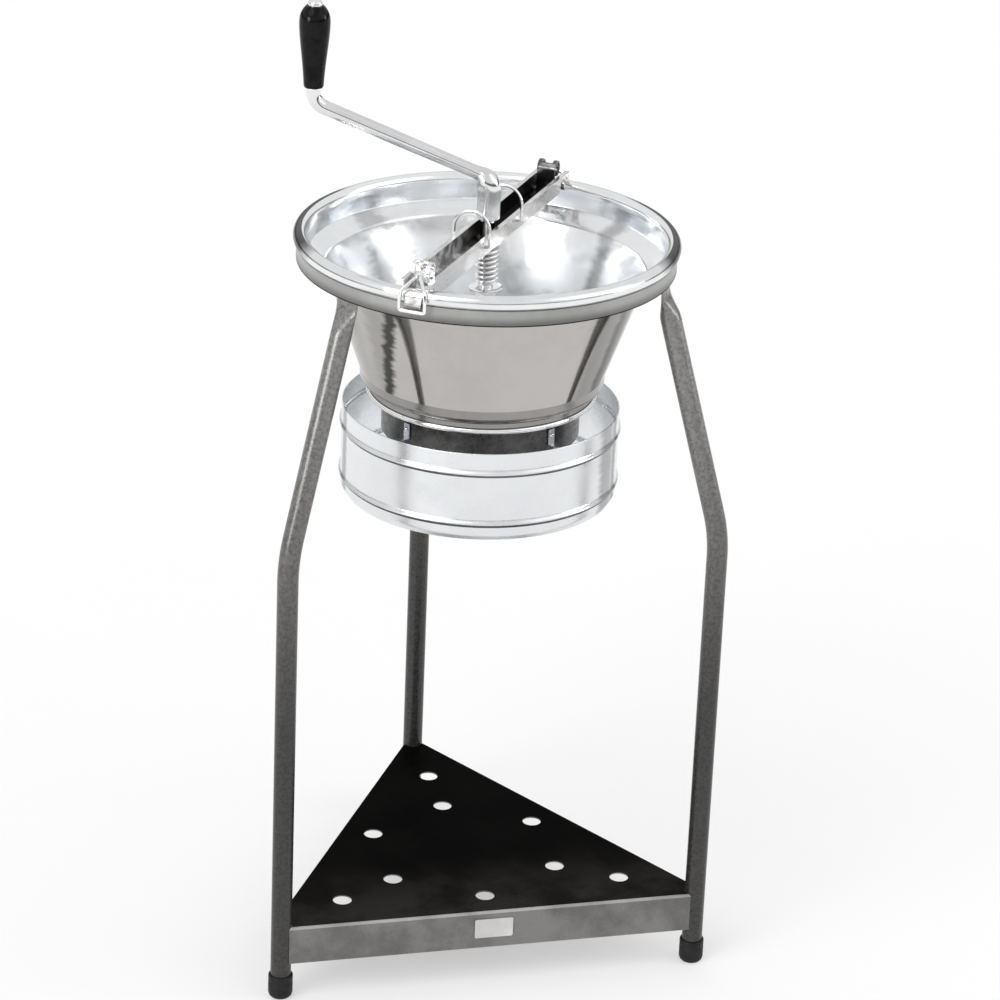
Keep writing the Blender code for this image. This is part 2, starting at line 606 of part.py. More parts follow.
def make_badge(stand):
    front = -(LEG_CIRCLE_RADIUS / 2 + TRAY_EDGE_OUTSIDE_LEG_LINE + TOUCH)
    half_width, half_height = BADGE_WIDTH / 2 - BADGE_CORNER, BADGE_HEIGHT / 2 - BADGE_CORNER
    outline = []
    for quarter, (sx, sz) in enumerate(((1, 1), (-1, 1), (-1, -1), (1, -1))):
        outline += arc(
            BADGE_CENTRE_X + sx * half_width, BADGE_CENTRE_HEIGHT + sz * half_height,
            BADGE_CORNER, 90.0 * quarter, 90.0 * quarter + 90.0, 3,
        )
    return plate("blank_badge", outline, front - BADGE_THICKNESS, front, PALE_PLATE, stand)


def hopper_profile():
    """The hopper's outer side from the rim down: (radius, height)."""
    inset = ROLL_CENTRE_RADIUS - WALL_TOP_RADIUS
    junction = RIM_ROLL_HEIGHT - math.sqrt(RIM_ROLL_RADIUS ** 2 - inset ** 2)
    shoulder = arc(
        CONE_BOTTOM_RADIUS - SHOULDER_ROUND, HOPPER_LIP_HEIGHT + SHOULDER_ROUND, SHOULDER_ROUND,
        SHOULDER_START_ANGLE, -90.0, 3,
    )
    return [
        (WALL_TOP_RADIUS, junction), (LEDGE_RADIUS, LEDGE_HEIGHT), (CONE_TOP_RADIUS, CONE_TOP_HEIGHT),
        (CONE_BOTTOM_RADIUS, CONE_BOTTOM_HEIGHT), *shoulder, (HOPPER_LIP_RADIUS, HOPPER_LIP_HEIGHT),
    ]


def offset_inward(profile):
    """The same profile moved to the sheet's other side."""
    moved = []
    for i, (radius, height) in enumerate(profile):
        before, after = profile[max(i - 1, 0)], profile[min(i + 1, len(profile) - 1)]
        run = Vector((after[0] - before[0], after[1] - before[1])).normalized()
        if i == len(profile) - 1:
            run = Vector((-1.0, 0.0))
        moved.append((radius + run.y * SHEET, height - run.x * SHEET))
    return moved


def make_hopper(mill):
    outer = hopper_profile()
    roll_start = math.degrees(math.atan2(outer[0][1] - RIM_ROLL_HEIGHT, outer[0][0] - ROLL_CENTRE_RADIUS))
    roll = arc(ROLL_CENTRE_RADIUS, RIM_ROLL_HEIGHT, RIM_ROLL_RADIUS, roll_start, 180.0, RIM_ROLL_STEPS)
    inner_top = (ROLL_CENTRE_RADIUS - RIM_ROLL_RADIUS + TOUCH, outer[0][1])
    section = roll[1:] + [inner_top] + offset_inward(outer)[1:] + outer[::-1]
    return turned("hopper", section, TINNED, mill)


def make_neck(mill):
    bead_height = NECK_TOP - NECK_BEAD_CENTRE_DEPTH
    bead = arc(NECK_BEAD_CENTRE_RADIUS, bead_height, NECK_BEAD_RADIUS, NECK_BEAD_START_ANGLE, -90.0, 5)
    outline = [(NECK_INNER_RADIUS, NECK_TOP), (NECK_SHOULDER_RADIUS, NECK_TOP)] + bead + [
        (NECK_COVE_RADIUS, bead_height - NECK_BEAD_RADIUS),
        (NECK_RADIUS, NECK_COVE_HEIGHT),
        (NECK_RADIUS, NECK_BOTTOM),
        (NECK_LIP_RADIUS, NECK_BOTTOM),
        (NECK_LIP_RADIUS, NECK_BOTTOM + SHEET),
        (NECK_INNER_RADIUS, NECK_BOTTOM + SHEET),
    ]
    return turned("neck_collar", outline, DULL_TIN, mill)


def make_sieve(mill):
    radius = NECK_INNER_RADIUS - 2 * TOUCH
    outline = [
        (SIEVE_CENTRE_HOLE_RADIUS, SIEVE_BOTTOM), (radius, SIEVE_BOTTOM),
        (radius, SIEVE_TOP), (SIEVE_CENTRE_HOLE_RADIUS, SIEVE_TOP),
    ]
    sieve = turned("sieve_disc", outline, TINNED, mill)
    bm = bmesh.new()
    depth = SIEVE_THICKNESS + 2 * OVERRUN
    for circle, count in SIEVE_ROWS:
        for step in range(count):
            turn = math.tau * step / count
            place = Matrix.Translation((
                circle * math.cos(turn), circle * math.sin(turn), (SIEVE_BOTTOM + SIEVE_TOP) / 2,
            ))
            bmesh.ops.create_cone(
                bm, cap_ends=True, segments=SIEVE_HOLE_SIDES, radius1=SIEVE_HOLE_RADIUS,
                radius2=SIEVE_HOLE_RADIUS, depth=depth, matrix=place,
            )
    cut(sieve, hidden(finish("sieve_punch_cutter", bm, TINNED, mill)))
    return sieve


def make_skirt(mill):
    wall = [(SKIRT_RADIUS, SKIRT_TOP)]
    for height in SKIRT_BEADS:
        wall += [
            (SKIRT_RADIUS, height + SKIRT_BEAD_HALF_HEIGHT),
            (SKIRT_RADIUS + SKIRT_BEAD_RISE, height),
            (SKIRT_RADIUS, height - SKIRT_BEAD_HALF_HEIGHT),
        ]
    wall += [(SKIRT_RADIUS, SKIRT_BOTTOM + SKIRT_HEM_HEIGHT), (SKIRT_HEM_RADIUS, SKIRT_BOTTOM)]
    outline = wall + [(radius - SHEET, height) for radius, height in wall[::-1]]
    return turned("skirt", outline, TINNED, mill)


def strap_places():
    return [STRAP_FIRST_AZIMUTH + 360.0 * i / STRAP_COUNT for i in range(STRAP_COUNT)]


def rivet(name, radius, head, start, direction, look, parent):
    """A low domed rivet head that stands on a face."""
    outline = [(0.0, 0.0)] + [(radius * wide, head * up) for wide, up in RIVET_SHARES]
    bm = bmesh.new()
    corners = [bm.verts.new((r, 0.0, h)) for r, h in outline]
    edges = [bm.edges.new(pair) for pair in zip(corners, corners[1:])]
    bmesh.ops.spin(
        bm, geom=corners + edges, cent=(0.0, 0.0, 0.0), axis=(0.0, 0.0, 1.0),
        angle=math.tau, steps=RIVET_SIDES, use_merge=True, use_duplicate=False,
    )
    turn = Vector(direction).to_track_quat("Z", "Y").to_matrix().to_4x4()
    bmesh.ops.transform(bm, matrix=Matrix.Translation(start) @ turn, verts=bm.verts)
    return finish(name, bm, look, parent, smooth_angle=60.0)


def make_straps(mill):
    """Straps that hang the skirt from the neck, each with a rivet at both ends."""
    neck_face = NECK_RADIUS + TOUCH
    skirt_face = SKIRT_RADIUS - SHEET - TOUCH
    under = STRAP_REACH_HEIGHT - STRAP_THICKNESS
    outline = [
        (neck_face, STRAP_TOP), (neck_face, under),
        (skirt_face - STRAP_THICKNESS, under), (skirt_face - STRAP_THICKNESS, STRAP_BOTTOM),
        (skirt_face, STRAP_BOTTOM), (skirt_face, STRAP_REACH_HEIGHT),
        (neck_face + STRAP_THICKNESS, STRAP_REACH_HEIGHT), (neck_face + STRAP_THICKNESS, STRAP_TOP),
    ]
    for index, azimuth in enumerate(strap_places(), start=1):
        frame = axis_frame("strap_frame_%d" % index, mill, azimuth=azimuth)
        plate("skirt_strap_%d" % index, outline, -STRAP_WIDTH / 2, STRAP_WIDTH / 2, TINNED, frame)
        ends = {
            "neck_rivet": (neck_face + STRAP_THICKNESS + TOUCH, NECK_RIVET_HEIGHT, 1.0),
            "skirt_rivet": (skirt_face - STRAP_THICKNESS - TOUCH, SKIRT_RIVET_HEIGHT, -1.0),
        }
        for rivet_name, (reach, height, sign) in ends.items():
            rivet(
                "%s_%d" % (rivet_name, index), RIVET_RADIUS, RIVET_HEAD,
                (reach, 0.0, height), (sign, 0.0, 0.0), BRIGHT_WIRE, frame,
            )


def make_crossbar(bar):
    outer, inner = BAR_WIDTH / 2, BAR_WIDTH / 2 - BAR_SHEET
    lip, under = outer + BAR_LIP, BAR_TOP - BAR_SHEET
    half = [
        (outer, BAR_BOTTOM), (outer, under), (lip, under),
        (lip, BAR_TOP), (inner, BAR_TOP), (inner, BAR_WEB_TOP),
    ]
    section = half + [(-y, z) for y, z in half[::-1]]
    bm = bmesh.new()
    face = bm.faces.new([bm.verts.new((-BAR_REACH, y, z)) for y, z in section])
    grown = bmesh.ops.extrude_face_region(bm, geom=[face])
    moved = [item for item in grown["geom"] if isinstance(item, bmesh.types.BMVert)]
    bmesh.ops.translate(bm, verts=moved, vec=(2 * BAR_REACH, 0.0, 0.0))
    crossbar = finish("crossbar", bm, BRIGHT_WIRE, bar, smooth_angle=0.0)
    for side, sign in LATCH_SIDES.items():
        notch = [
            (BAR_WEB_HALF_LENGTH, BAR_BOTTOM - OVERRUN), (BAR_WEB_HALF_LENGTH, BAR_BOTTOM),
            (BAR_WEB_HALF_LENGTH + BAR_NOTCH_SLOPE, NOTCH_HEIGHT), (BAR_REACH + OVERRUN, NOTCH_HEIGHT),
            (BAR_REACH + OVERRUN, BAR_BOTTOM - OVERRUN),
        ]
        cut(crossbar, hidden(plate(
            "bar_notch_cutter_" + side, [(sign * x, z) for x, z in notch], -BAR_WIDTH, BAR_WIDTH,
            BRIGHT_WIRE, bar,
        )))
    hole = cylinder(
        "bar_bore_cutter", BUSH_SLEEVE_RADIUS + TOUCH, (0.0, 0.0, BAR_BOTTOM - OVERRUN),
        (0.0, 0.0, BAR_WEB_TOP + OVERRUN), sides=SMALL_SIDES, parent=bar,
    )
    cut(crossbar, hole)
    return crossbar


def make_bearing(bar):
    flange = BAR_WEB_TOP + TOUCH
    sleeve_bottom = BAR_BOTTOM - BUSH_SLEEVE_BELOW_WEB
    outline = [
        (BORE_RADIUS, sleeve_bottom), (BUSH_SLEEVE_RADIUS, sleeve_bottom), (BUSH_SLEEVE_RADIUS, flange),
        (BUSH_FLANGE_RADIUS, flange), (BUSH_FLANGE_RADIUS, flange + BUSH_FLANGE_THICKNESS),
        (BORE_RADIUS, flange + BUSH_FLANGE_THICKNESS),
    ]
    turned("bearing_bush", outline, BRASS, bar, sides=SMALL_SIDES)
    bore = BUSH_SLEEVE_RADIUS + TOUCH
    washer = [
        (bore, WASHER_BOTTOM), (SPRING_WASHER_RADIUS, WASHER_BOTTOM),
        (SPRING_WASHER_RADIUS, WASHER_TOP), (bore, WASHER_TOP),
    ]
    turned("spring_top_washer", washer, BRIGHT_WIRE, bar, sides=SMALL_SIDES)


def make_hoops(bar):
    """Two wire hoops over the bar, one on each side of the rod, feet turned in under its lips."""
    half = BAR_WIDTH / 2 + BAR_LIP + TOUCH + HOOP_WIRE_RADIUS
    flange = BAR_WIDTH / 2 + TOUCH
    low = HOOP_WIRE_BOTTOM
    for name, place in HOOP_WIRE_PLACES.items():
        foot = [(flange, low), (half - HOOP_WIRE_CORNER, low), (half, low + HOOP_WIRE_CORNER)]
        top = arc(0.0, HOOP_WIRE_STRAIGHT_TOP, half, 0.0, 180.0, 12)
        path = foot + top + [(-y, z) for y, z in foot[::-1]]
        wire(name, [(place, y, z) for y, z in path], HOOP_WIRE_RADIUS, BRIGHT_WIRE, bar)


def make_latch(side, sign, bar, mill):
    """The curled eye on the bar, the catch on the rim and the wire loop that holds them together."""
    foot = BAR_WEB_TOP + TOUCH
    riser = EYE_CENTRE_REACH - EYE_RADIUS
    bore = EYE_RADIUS - EYE_STRIP
    inside = arc(EYE_CENTRE_REACH, EYE_CENTRE_HEIGHT, bore, 180.0, EYE_CURL_END, 12)
    outside = arc(EYE_CENTRE_REACH, EYE_CENTRE_HEIGHT, EYE_RADIUS, EYE_CURL_END, 180.0, 12)
    outline = [(EYE_FOOT_START, foot), (riser + EYE_STRIP, foot)] + inside + outside
    outline += [(riser, foot + EYE_STRIP), (EYE_FOOT_START, foot + EYE_STRIP)]
    outline = [(sign * x, z) for x, z in outline]
    eye = plate("latch_eye_" + side, outline, -EYE_HALF_LENGTH, EYE_HALF_LENGTH, BRIGHT_WIRE, bar)
    clear = EYE_RADIUS + OVERRUN
    slot = [
        (-EYE_SLOT_BEHIND_MIDDLE_BELOW, -clear), (clear, -clear), (clear, clear),
        (-EYE_SLOT_BEHIND_MIDDLE, clear), (-EYE_SLOT_BEHIND_MIDDLE, 0.0), (-EYE_SLOT_BEHIND_MIDDLE_BELOW, 0.0),
    ]
    slot = [(sign * (EYE_CENTRE_REACH + x), EYE_CENTRE_HEIGHT + z) for x, z in slot]
    cut(eye, hidden(plate(
        "eye_slot_cutter_" + side, slot, -EYE_SLOT_HALF_WIDTH, EYE_SLOT_HALF_WIDTH, BRIGHT_WIRE, bar,
    )))
    rivet(
        "eye_rivet_" + side, EYE_RIVET_RADIUS, EYE_RIVET_HEAD,
        (sign * EYE_RIVET_REACH, 0.0, foot + EYE_STRIP + TOUCH), (0.0, 0.0, 1.0), BRIGHT_WIRE, bar,
    )

    back = RIM_RADIUS + TOUCH
    ridge = arc(back, CATCH_CENTRE_HEIGHT, CATCH_ROUND, -90.0, CATCH_LIP_ANGLE, 7)
    ridge += [(back + CATCH_TOP_THICKNESS, CATCH_TOP_HEIGHT), (back, CATCH_TOP_HEIGHT)]
    ridge = [(sign * x, z) for x, z in ridge]
    frame = axis_frame("catch_frame_" + side, mill, azimuth=BAR_AZIMUTH)
    plate("catch_" + side, ridge, -CATCH_LENGTH / 2, CATCH_LENGTH / 2, BRIGHT_WIRE, frame)

    pivot = EYE_CENTRE_REACH + LATCH_PIVOT_OUT
    pivot_height = EYE_CENTRE_HEIGHT - LATCH_PIVOT_DOWN
    hinge = axis_frame("latch_hinge_" + side, bar, (sign * pivot, 0.0, pivot_height))
    end, neck, foot_half = EYE_HALF_LENGTH - LATCH_END_INSIDE_EYE, LATCH_NECK_HALF_WIDTH, LATCH_FOOT_HALF_WIDTH
    turn = LATCH_WIRE_RADIUS
    out = LATCH_BOTTOM_REACH - pivot
    down = LATCH_BOTTOM_HEIGHT - pivot_height
    right = [
        (0.0, end, 0.0), (0.0, neck + turn, 0.0), (turn, neck, 0.0),
        (LATCH_NECK_REACH, neck, -LATCH_NECK_DROP),
        (LATCH_SHOULDER_REACH, LATCH_SHOULDER_HALF_WIDTH, -LATCH_SHOULDER_DROP),
        (out, foot_half, -LATCH_UPRIGHT_DROP), (out, foot_half, down + turn), (out, foot_half - turn, down),
    ]
    loop = right + [(x, -y, z) for x, y, z in right[::-1]]
    loop = [(sign * x, y, z) for x, y, z in loop]
    wire("latch_loop_" + side, loop, LATCH_WIRE_RADIUS, BRIGHT_WIRE, hinge)


def make_spring(bar):
    """The spring round the rod, one unbroken tube. Prints the least gap between its turns."""
    low, high = SEAT_TOP + TOUCH, WASHER_BOTTOM - TOUCH
    straight = 2 * SPRING_WIRE_RADIUS
    start, end = low + straight, high - straight
    helix_low, helix_high = start + SPRING_ELBOW, end - SPRING_ELBOW
    count = SPRING_TURNS * SPRING_POINTS_PER_TURN
    points = [(SPRING_COIL_RADIUS, 0.0, low), (SPRING_COIL_RADIUS, 0.0, start)]
    for i in range(1, count):
        turn = math.tau * i / SPRING_POINTS_PER_TURN
        height = helix_low + (helix_high - helix_low) * i / count
        points.append((SPRING_COIL_RADIUS * math.cos(turn), SPRING_COIL_RADIUS * math.sin(turn), height))
    points += [(SPRING_COIL_RADIUS, 0.0, end), (SPRING_COIL_RADIUS, 0.0, high)]
    wire("spring", points, SPRING_WIRE_RADIUS, BRIGHT_WIRE, bar, resolution=1)
    rows = [Vector(p) for p in points]
    apart = SPRING_POINTS_PER_TURN // 2
    least = min((a - b).length for i, a in enumerate(rows) for b in rows[i + apart:])
    print("spring: least gap between turns %.2f mm" % (1000 * (least - 2 * SPRING_WIRE_RADIUS)))


def make_seat(seat):
    outline = [
        (BORE_RADIUS, SEAT_BOTTOM), (SEAT_RADIUS - SEAT_RIM, SEAT_BOTTOM),
        (SEAT_RADIUS, SEAT_BOTTOM + SEAT_RIM), (SEAT_RADIUS, SEAT_TOP - SEAT_RIM / 2),
        (SEAT_LIP_RADIUS, SEAT_TOP), (BORE_RADIUS, SEAT_TOP),
    ]
    return turned("spring_seat", outline, BRIGHT_WIRE, seat, sides=SMALL_SIDES)


def pin_hole(name, crank):
    """A cutter for the cross hole that the blade's pin goes through."""
    start = (0.0, -HUB_RADIUS - OVERRUN, HUB_PIN_HEIGHT)
    end = (0.0, HUB_RADIUS + OVERRUN, HUB_PIN_HEIGHT)
    return cylinder(name, HUB_PIN_RADIUS + TOUCH, start, end, sides=RIVET_SIDES, parent=crank)


def make_rod(crank):
    """The bent rod: tip, shaft, rising arm and the thinner spindle for the grip."""
    tip_top = ROD_BOTTOM + ROD_TIP_LENGTH
    step = TOUCH
    corners = [
        (0.0, ROD_SLEEVE_BOTTOM), (0.0, ROD_LOWER_BEND_HEIGHT),
        (CRANK_RADIUS, ROD_UPPER_BEND_HEIGHT), (CRANK_RADIUS, ROD_SHOULDER_HEIGHT - step),
    ]
    path = rounded_path(corners, (ROD_LOWER_BEND_RADIUS, ROD_UPPER_BEND_RADIUS), steps=6)
    shaft = [
        (ROD_BOTTOM, ROD_TIP_RADIUS), (tip_top, ROD_TIP_RADIUS), (tip_top + step, ROD_RADIUS),
        (ROD_SLEEVE_BOTTOM - step, ROD_RADIUS), (ROD_SLEEVE_BOTTOM, ROD_SLEEVE_RADIUS),
    ]
    stations = [(0.0, height, radius, radius) for height, radius in shaft]
    for point in path[1:]:
        tapered = min(max(point.x / ROD_TAPER_LENGTH, 0.0), 1.0)
        radius = ROD_SLEEVE_RADIUS + (ARM_THIN_RADIUS - ROD_SLEEVE_RADIUS) * tapered
        if point.x > CRANK_RADIUS / 2:
            radius = ROD_RADIUS
        stations.append((point.x, point.y, radius, radius))
    stations += [
        (CRANK_RADIUS, ROD_SHOULDER_HEIGHT, SPINDLE_RADIUS, SPINDLE_RADIUS),
        (CRANK_RADIUS, SPINDLE_TOP, SPINDLE_RADIUS, SPINDLE_RADIUS),
    ]
    bm = bmesh.new()
    rings = sweep_rings(bm, stations, ROD_SIDES)
    skin(bm, rings)
    bm.faces.new(rings[0])
    bm.faces.new(rings[-1])
    rod = finish("crank_rod", bm, BRIGHT_WIRE, crank, smooth_angle=ROD_SMOOTH_ANGLE)
    cut(rod, pin_hole("rod_pin_cutter", crank))
    collar = [
        (BORE_RADIUS, COLLAR_TOP - COLLAR_HEIGHT), (COLLAR_RADIUS, COLLAR_TOP - COLLAR_HEIGHT),
        (COLLAR_RADIUS, COLLAR_TOP), (BORE_RADIUS, COLLAR_TOP),
    ]
    turned("shaft_collar", collar, BRIGHT_WIRE, crank, sides=SMALL_SIDES)
    washer = [
        (SPINDLE_RADIUS + TOUCH, WASHER_SEAT), (GRIP_WASHER_RADIUS, WASHER_SEAT),
        (GRIP_WASHER_RADIUS, WASHER_SEAT + GRIP_WASHER_THICKNESS),
        (SPINDLE_RADIUS + TOUCH, WASHER_SEAT + GRIP_WASHER_THICKNESS),
    ]
    turned("grip_washer", washer, BRIGHT_WIRE, crank, sides=SMALL_SIDES, centre=(CRANK_RADIUS, 0.0))
    pocket = SPINDLE_RADIUS + TOUCH
    nut = [
        (pocket, NUT_BOTTOM), (NUT_RADIUS, NUT_BOTTOM),
    ]
    nut += [(NUT_RADIUS * wide, NUT_BOTTOM + NUT_HEIGHT * up) for up, wide in NUT_DOME_SHARES]
    nut += [
        (0.0, NUT_BOTTOM + NUT_HEIGHT), (0.0, SPINDLE_TOP + TOUCH), (pocket, SPINDLE_TOP + TOUCH),
    ]
    turned("grip_nut", nut, BRIGHT_WIRE, crank, sides=SMALL_SIDES, centre=(CRANK_RADIUS, 0.0))


def make_grip(crank):
    hinge = axis_frame("grip_axis", crank, (CRANK_RADIUS, 0.0, 0.0))
    bore = SPINDLE_RADIUS + GRIP_BORE_CLEARANCE
    outline = [(bore, GRIP_BOTTOM)]
    outline += [(GRIP_RADIUS * wide, GRIP_BOTTOM + GRIP_LENGTH * up) for up, wide in GRIP_SHARES]
    outline.append((bore, GRIP_TOP))
    return turned("grip", outline, BLACK_GLOSS, hinge, sides=SMALL_SIDES)


def make_hub(crank):
    outline = [
        (BORE_RADIUS, HUB_BOTTOM), (HUB_RADIUS, HUB_BOTTOM), (HUB_RADIUS, HUB_TOP - SHEET),
        (HUB_RADIUS - SHEET, HUB_TOP), (BORE_RADIUS, HUB_TOP),
    ]
    hub = turned("blade_hub", outline, BRIGHT_WIRE, crank, sides=SMALL_SIDES)
    cut(hub, pin_hole("hub_pin_cutter", crank))
    end = HUB_RADIUS + HUB_PIN_HEAD
    cylinder(
        "blade_pin", HUB_PIN_RADIUS, (0.0, -end, HUB_PIN_HEIGHT), (0.0, end, HUB_PIN_HEIGHT),
        sides=RIVET_SIDES, parent=crank, look=BRIGHT_WIRE,
    )


def make_blade(crank):
    """The press blade: half a turn of a rising helix between the hub and the neck."""
    inner = HUB_RADIUS + TOUCH
    bm = bmesh.new()
    rings = []
    for step in range(BLADE_STEPS + 1):
        share = step / BLADE_STEPS
        turn = math.radians(BLADE_START_ANGLE + BLADE_SPAN_ANGLE * share)
        low = BLADE_LOW + BLADE_RISE * share
        radii = [inner + (BLADE_RADIUS - inner) * s for s in BLADE_RADIAL_SHARES]
        bottom = [(r, low) for r in radii]
        top = [(r, low + BLADE_THICKNESS) for r in radii[::-1]]
        rings.append([bm.verts.new((r * math.cos(turn), r * math.sin(turn), z)) for r, z in bottom + top])
    skin(bm, rings)
    bm.faces.new(rings[0])
    bm.faces.new(rings[-1])
    return finish("press_blade", bm, TINNED, crank)


stand = axis_frame("stand", location=(0.0, -AXIS_BEFORE_ORIGIN, 0.0))
for leg_name, leg_azimuth in LEG_AZIMUTHS.items():
    make_leg(leg_name, leg_azimuth, stand)
    make_foot(leg_name.replace("leg", "foot"), leg_azimuth, stand)
make_hoop(stand)
make_tray(stand)
make_badge(stand)

mill_frame = axis_frame("mill_lift", stand)
make_hopper(mill_frame)
make_neck(mill_frame)
make_sieve(mill_frame)
make_skirt(mill_frame)
make_straps(mill_frame)

bar_frame = axis_frame("bar_frame", mill_frame, azimuth=BAR_AZIMUTH)
make_crossbar(bar_frame)
make_bearing(bar_frame)
make_hoops(bar_frame)
for latch_side, latch_sign in LATCH_SIDES.items():
    make_latch(latch_side, latch_sign, bar_frame, mill_frame)
make_spring(bar_frame)

seat_frame = axis_frame("seat_travel", mill_frame)
make_seat(seat_frame)
crank_frame = axis_frame("crank_axis", seat_frame, azimuth=CRANK_AZIMUTH)
make_rod(crank_frame)
make_grip(crank_frame)
make_hub(crank_frame)
make_blade(crank_frame)
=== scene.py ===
"""A large hand-cranked food mill on a three-legged stand, with the finish of every surface.

Metres, +Z up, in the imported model's own frame. The mill's axis stands in front of the origin.
"""
import math

import bmesh
import bpy
from mathutils import Matrix, Vector


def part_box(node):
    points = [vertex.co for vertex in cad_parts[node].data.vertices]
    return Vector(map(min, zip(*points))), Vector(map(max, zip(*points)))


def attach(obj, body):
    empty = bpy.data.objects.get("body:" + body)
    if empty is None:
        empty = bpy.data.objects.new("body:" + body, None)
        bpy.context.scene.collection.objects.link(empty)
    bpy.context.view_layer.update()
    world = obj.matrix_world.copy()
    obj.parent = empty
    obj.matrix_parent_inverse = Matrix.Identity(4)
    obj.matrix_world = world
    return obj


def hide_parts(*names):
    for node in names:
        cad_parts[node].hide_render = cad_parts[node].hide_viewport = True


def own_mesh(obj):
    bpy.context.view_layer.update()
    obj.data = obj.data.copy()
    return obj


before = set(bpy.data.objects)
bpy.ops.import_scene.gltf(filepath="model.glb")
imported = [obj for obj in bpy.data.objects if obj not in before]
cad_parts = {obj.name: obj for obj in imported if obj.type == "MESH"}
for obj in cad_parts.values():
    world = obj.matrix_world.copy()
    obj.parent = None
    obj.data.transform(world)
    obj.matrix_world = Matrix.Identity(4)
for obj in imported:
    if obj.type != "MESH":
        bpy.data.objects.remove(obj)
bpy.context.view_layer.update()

# ---------------------------------------------------------------- sizes, in metres and degrees
MILL_AXIS = Vector((0.0, -0.038, 0.0))
SEAM = 0.0003                 # the hairline between two pieces that touch
SHEET = 0.0015
PLAY = 0.0004                 # between a pin or rod and its bore
LEG_AZIMUTHS = {"front_left": 210.0, "front_right": 330.0, "back": 90.0}
BAR_AZIMUTH = 55.5
CRANK_AZIMUTH = 165.6

LEG_CIRCLE = 0.263
LEG_RADIUS = 0.011
LEG_START = 0.0063
LEG_BEND = 0.508
LEG_BEND_ROUND = 0.180
LEG_TOP_LINE = 0.1909         # where the crushed end stands upright inside the hoop
LEG_UPRIGHT = 0.766
LEG_UPRIGHT_ROUND = 0.060
LEG_TOP = 0.790
CRUSH_START = 0.738
CRUSH_END = 0.770
CRUSHED_HALF_WIDTH = 0.0155
CRUSHED_HALF_THICKNESS = 0.0023

FOOT_RADIUS = 0.0131
FOOT_HEIGHT = 0.027
HOOP_OUTER = 0.1965
HOOP_THICKNESS = 0.003
HOOP_BOTTOM = 0.775
HOOP_TOP = 0.7916

TRAY_TOP = 0.0854
TRAY_SHEET = 0.0015
TRAY_EDGE = 0.1404            # from the axis to each long edge
TRAY_APRON = 0.043
TRAY_BACK_FOLD = 0.014
TRAY_FOLD_ROUND = 0.0025
TRAY_HOLE = 0.0102
TRAY_OUTER_HOLES = 0.1774
TRAY_INNER_HOLES = 0.1045
LEG_CUT, HOLE_CUT = 0.2, 0.02           # how far the drills reach through the tray
BADGE_ROUND = 0.002

RIM_ROLL = 0.0075
RIM_ROLL_CENTRE = 0.1925
RIM_ROLL_HEIGHT = 0.799
WALL_TOP = 0.187
LEDGE = (0.1860, 0.7775)
CONE_TOP = (0.1670, 0.7672)
CONE_BOTTOM = (0.1280, 0.657)
SHOULDER_ROUND = 0.010
HOPPER_LIP = (0.1170, 0.6412)
BOWL_FLOOR = 0.66             # level faces below this belong to the inside
PAINTED_HIGHLIGHT_LINE = (-0.0025, 0.0002)           # the painted highlight line round the cone's foot, from its lower edge

NECK_RADIUS = 0.104
NECK_TOP = 0.6409
NECK_BOTTOM = 0.589
NECK_BEAD = 0.0032
NECK_BEAD_CENTRE = (0.1180, 0.6322)
NECK_SHOULDER = 0.1186
NECK_FILLET = ((0.1085, 0.0), (0.1062, -0.0010), (0.1047, -0.0035))     # radius, and height from under the bead
NECK_STRAIGHT = 0.6225
NECK_LIP = 0.0975             # the lip that the sieve lies on
SIEVE_BOTTOM = 0.5908
SIEVE_TOP = 0.5923
SIEVE_RADIUS = 0.1019
SIEVE_BORE = 0.0061
SIEVE_PLAIN = 0.014           # no holes nearer the middle
SIEVE_DRILLED = 0.096
SIEVE_HOLE = 0.0017
SIEVE_PITCH = 0.0062
SKIRT_RADIUS = 0.1455
SKIRT_TOP = 0.618
SKIRT_BOTTOM = 0.522
SKIRT_BEADS = (0.5964, 0.5410)
SKIRT_BEAD_RISE = 0.0023
SKIRT_BEAD_HALF = 0.0036
SKIRT_BEAD_FOOT = (0.0003, 0.0008)      # its rise at its edge, and the run down to the wall
SKIRT_HEM_RADIUS = 0.1415
SKIRT_HEM = 0.529
SKIRT_HEM_ROUND = 0.008
STRAP_AZIMUTH = 30.5
STRAP_SHEET = 0.002
STRAP_HALF_WIDTH = 0.004
STRAP_TOP = 0.620
STRAP_RUN = 0.604             # the height at which it crosses to the skirt
STRAP_BOTTOM = 0.570
STRAP_RIVET = (0.0026, 0.0016)
NECK_RIVET_HEIGHT = 0.6135
SKIRT_RIVET_HEIGHT = 0.578

BAR_HALF_WIDTH = 0.014
BAR_LIP = 0.0035
BAR_SHEET = 0.0018
BAR_BOTTOM = 0.795
BAR_TOP = 0.8155
BAR_REACH = 0.196
BAR_WEB_REACH = 0.178
BAR_NOTCH = 0.8068
BAR_BORE = 0.0095
BUSH_RADIUS = 0.0092
BUSH_FLANGE = 0.0115
BUSH_HEIGHTS = (0.7936, 0.7971, 0.8001)
TOP_WASHER_RADIUS = 0.0135
TOP_WASHER_HEIGHTS = (0.793, 0.7947)
EYE_REACH = 0.178
EYE_HEIGHT = 0.8225
EYE_RADIUS = 0.0085
EYE_STRIP = 0.0022
EYE_HALF_LENGTH = 0.010
EYE_FOOT_START = 0.145
EYE_RIVET_REACH = 0.156
EYE_RIVET = (0.004, 0.0022)
EYE_SLOT_HALF = 0.006
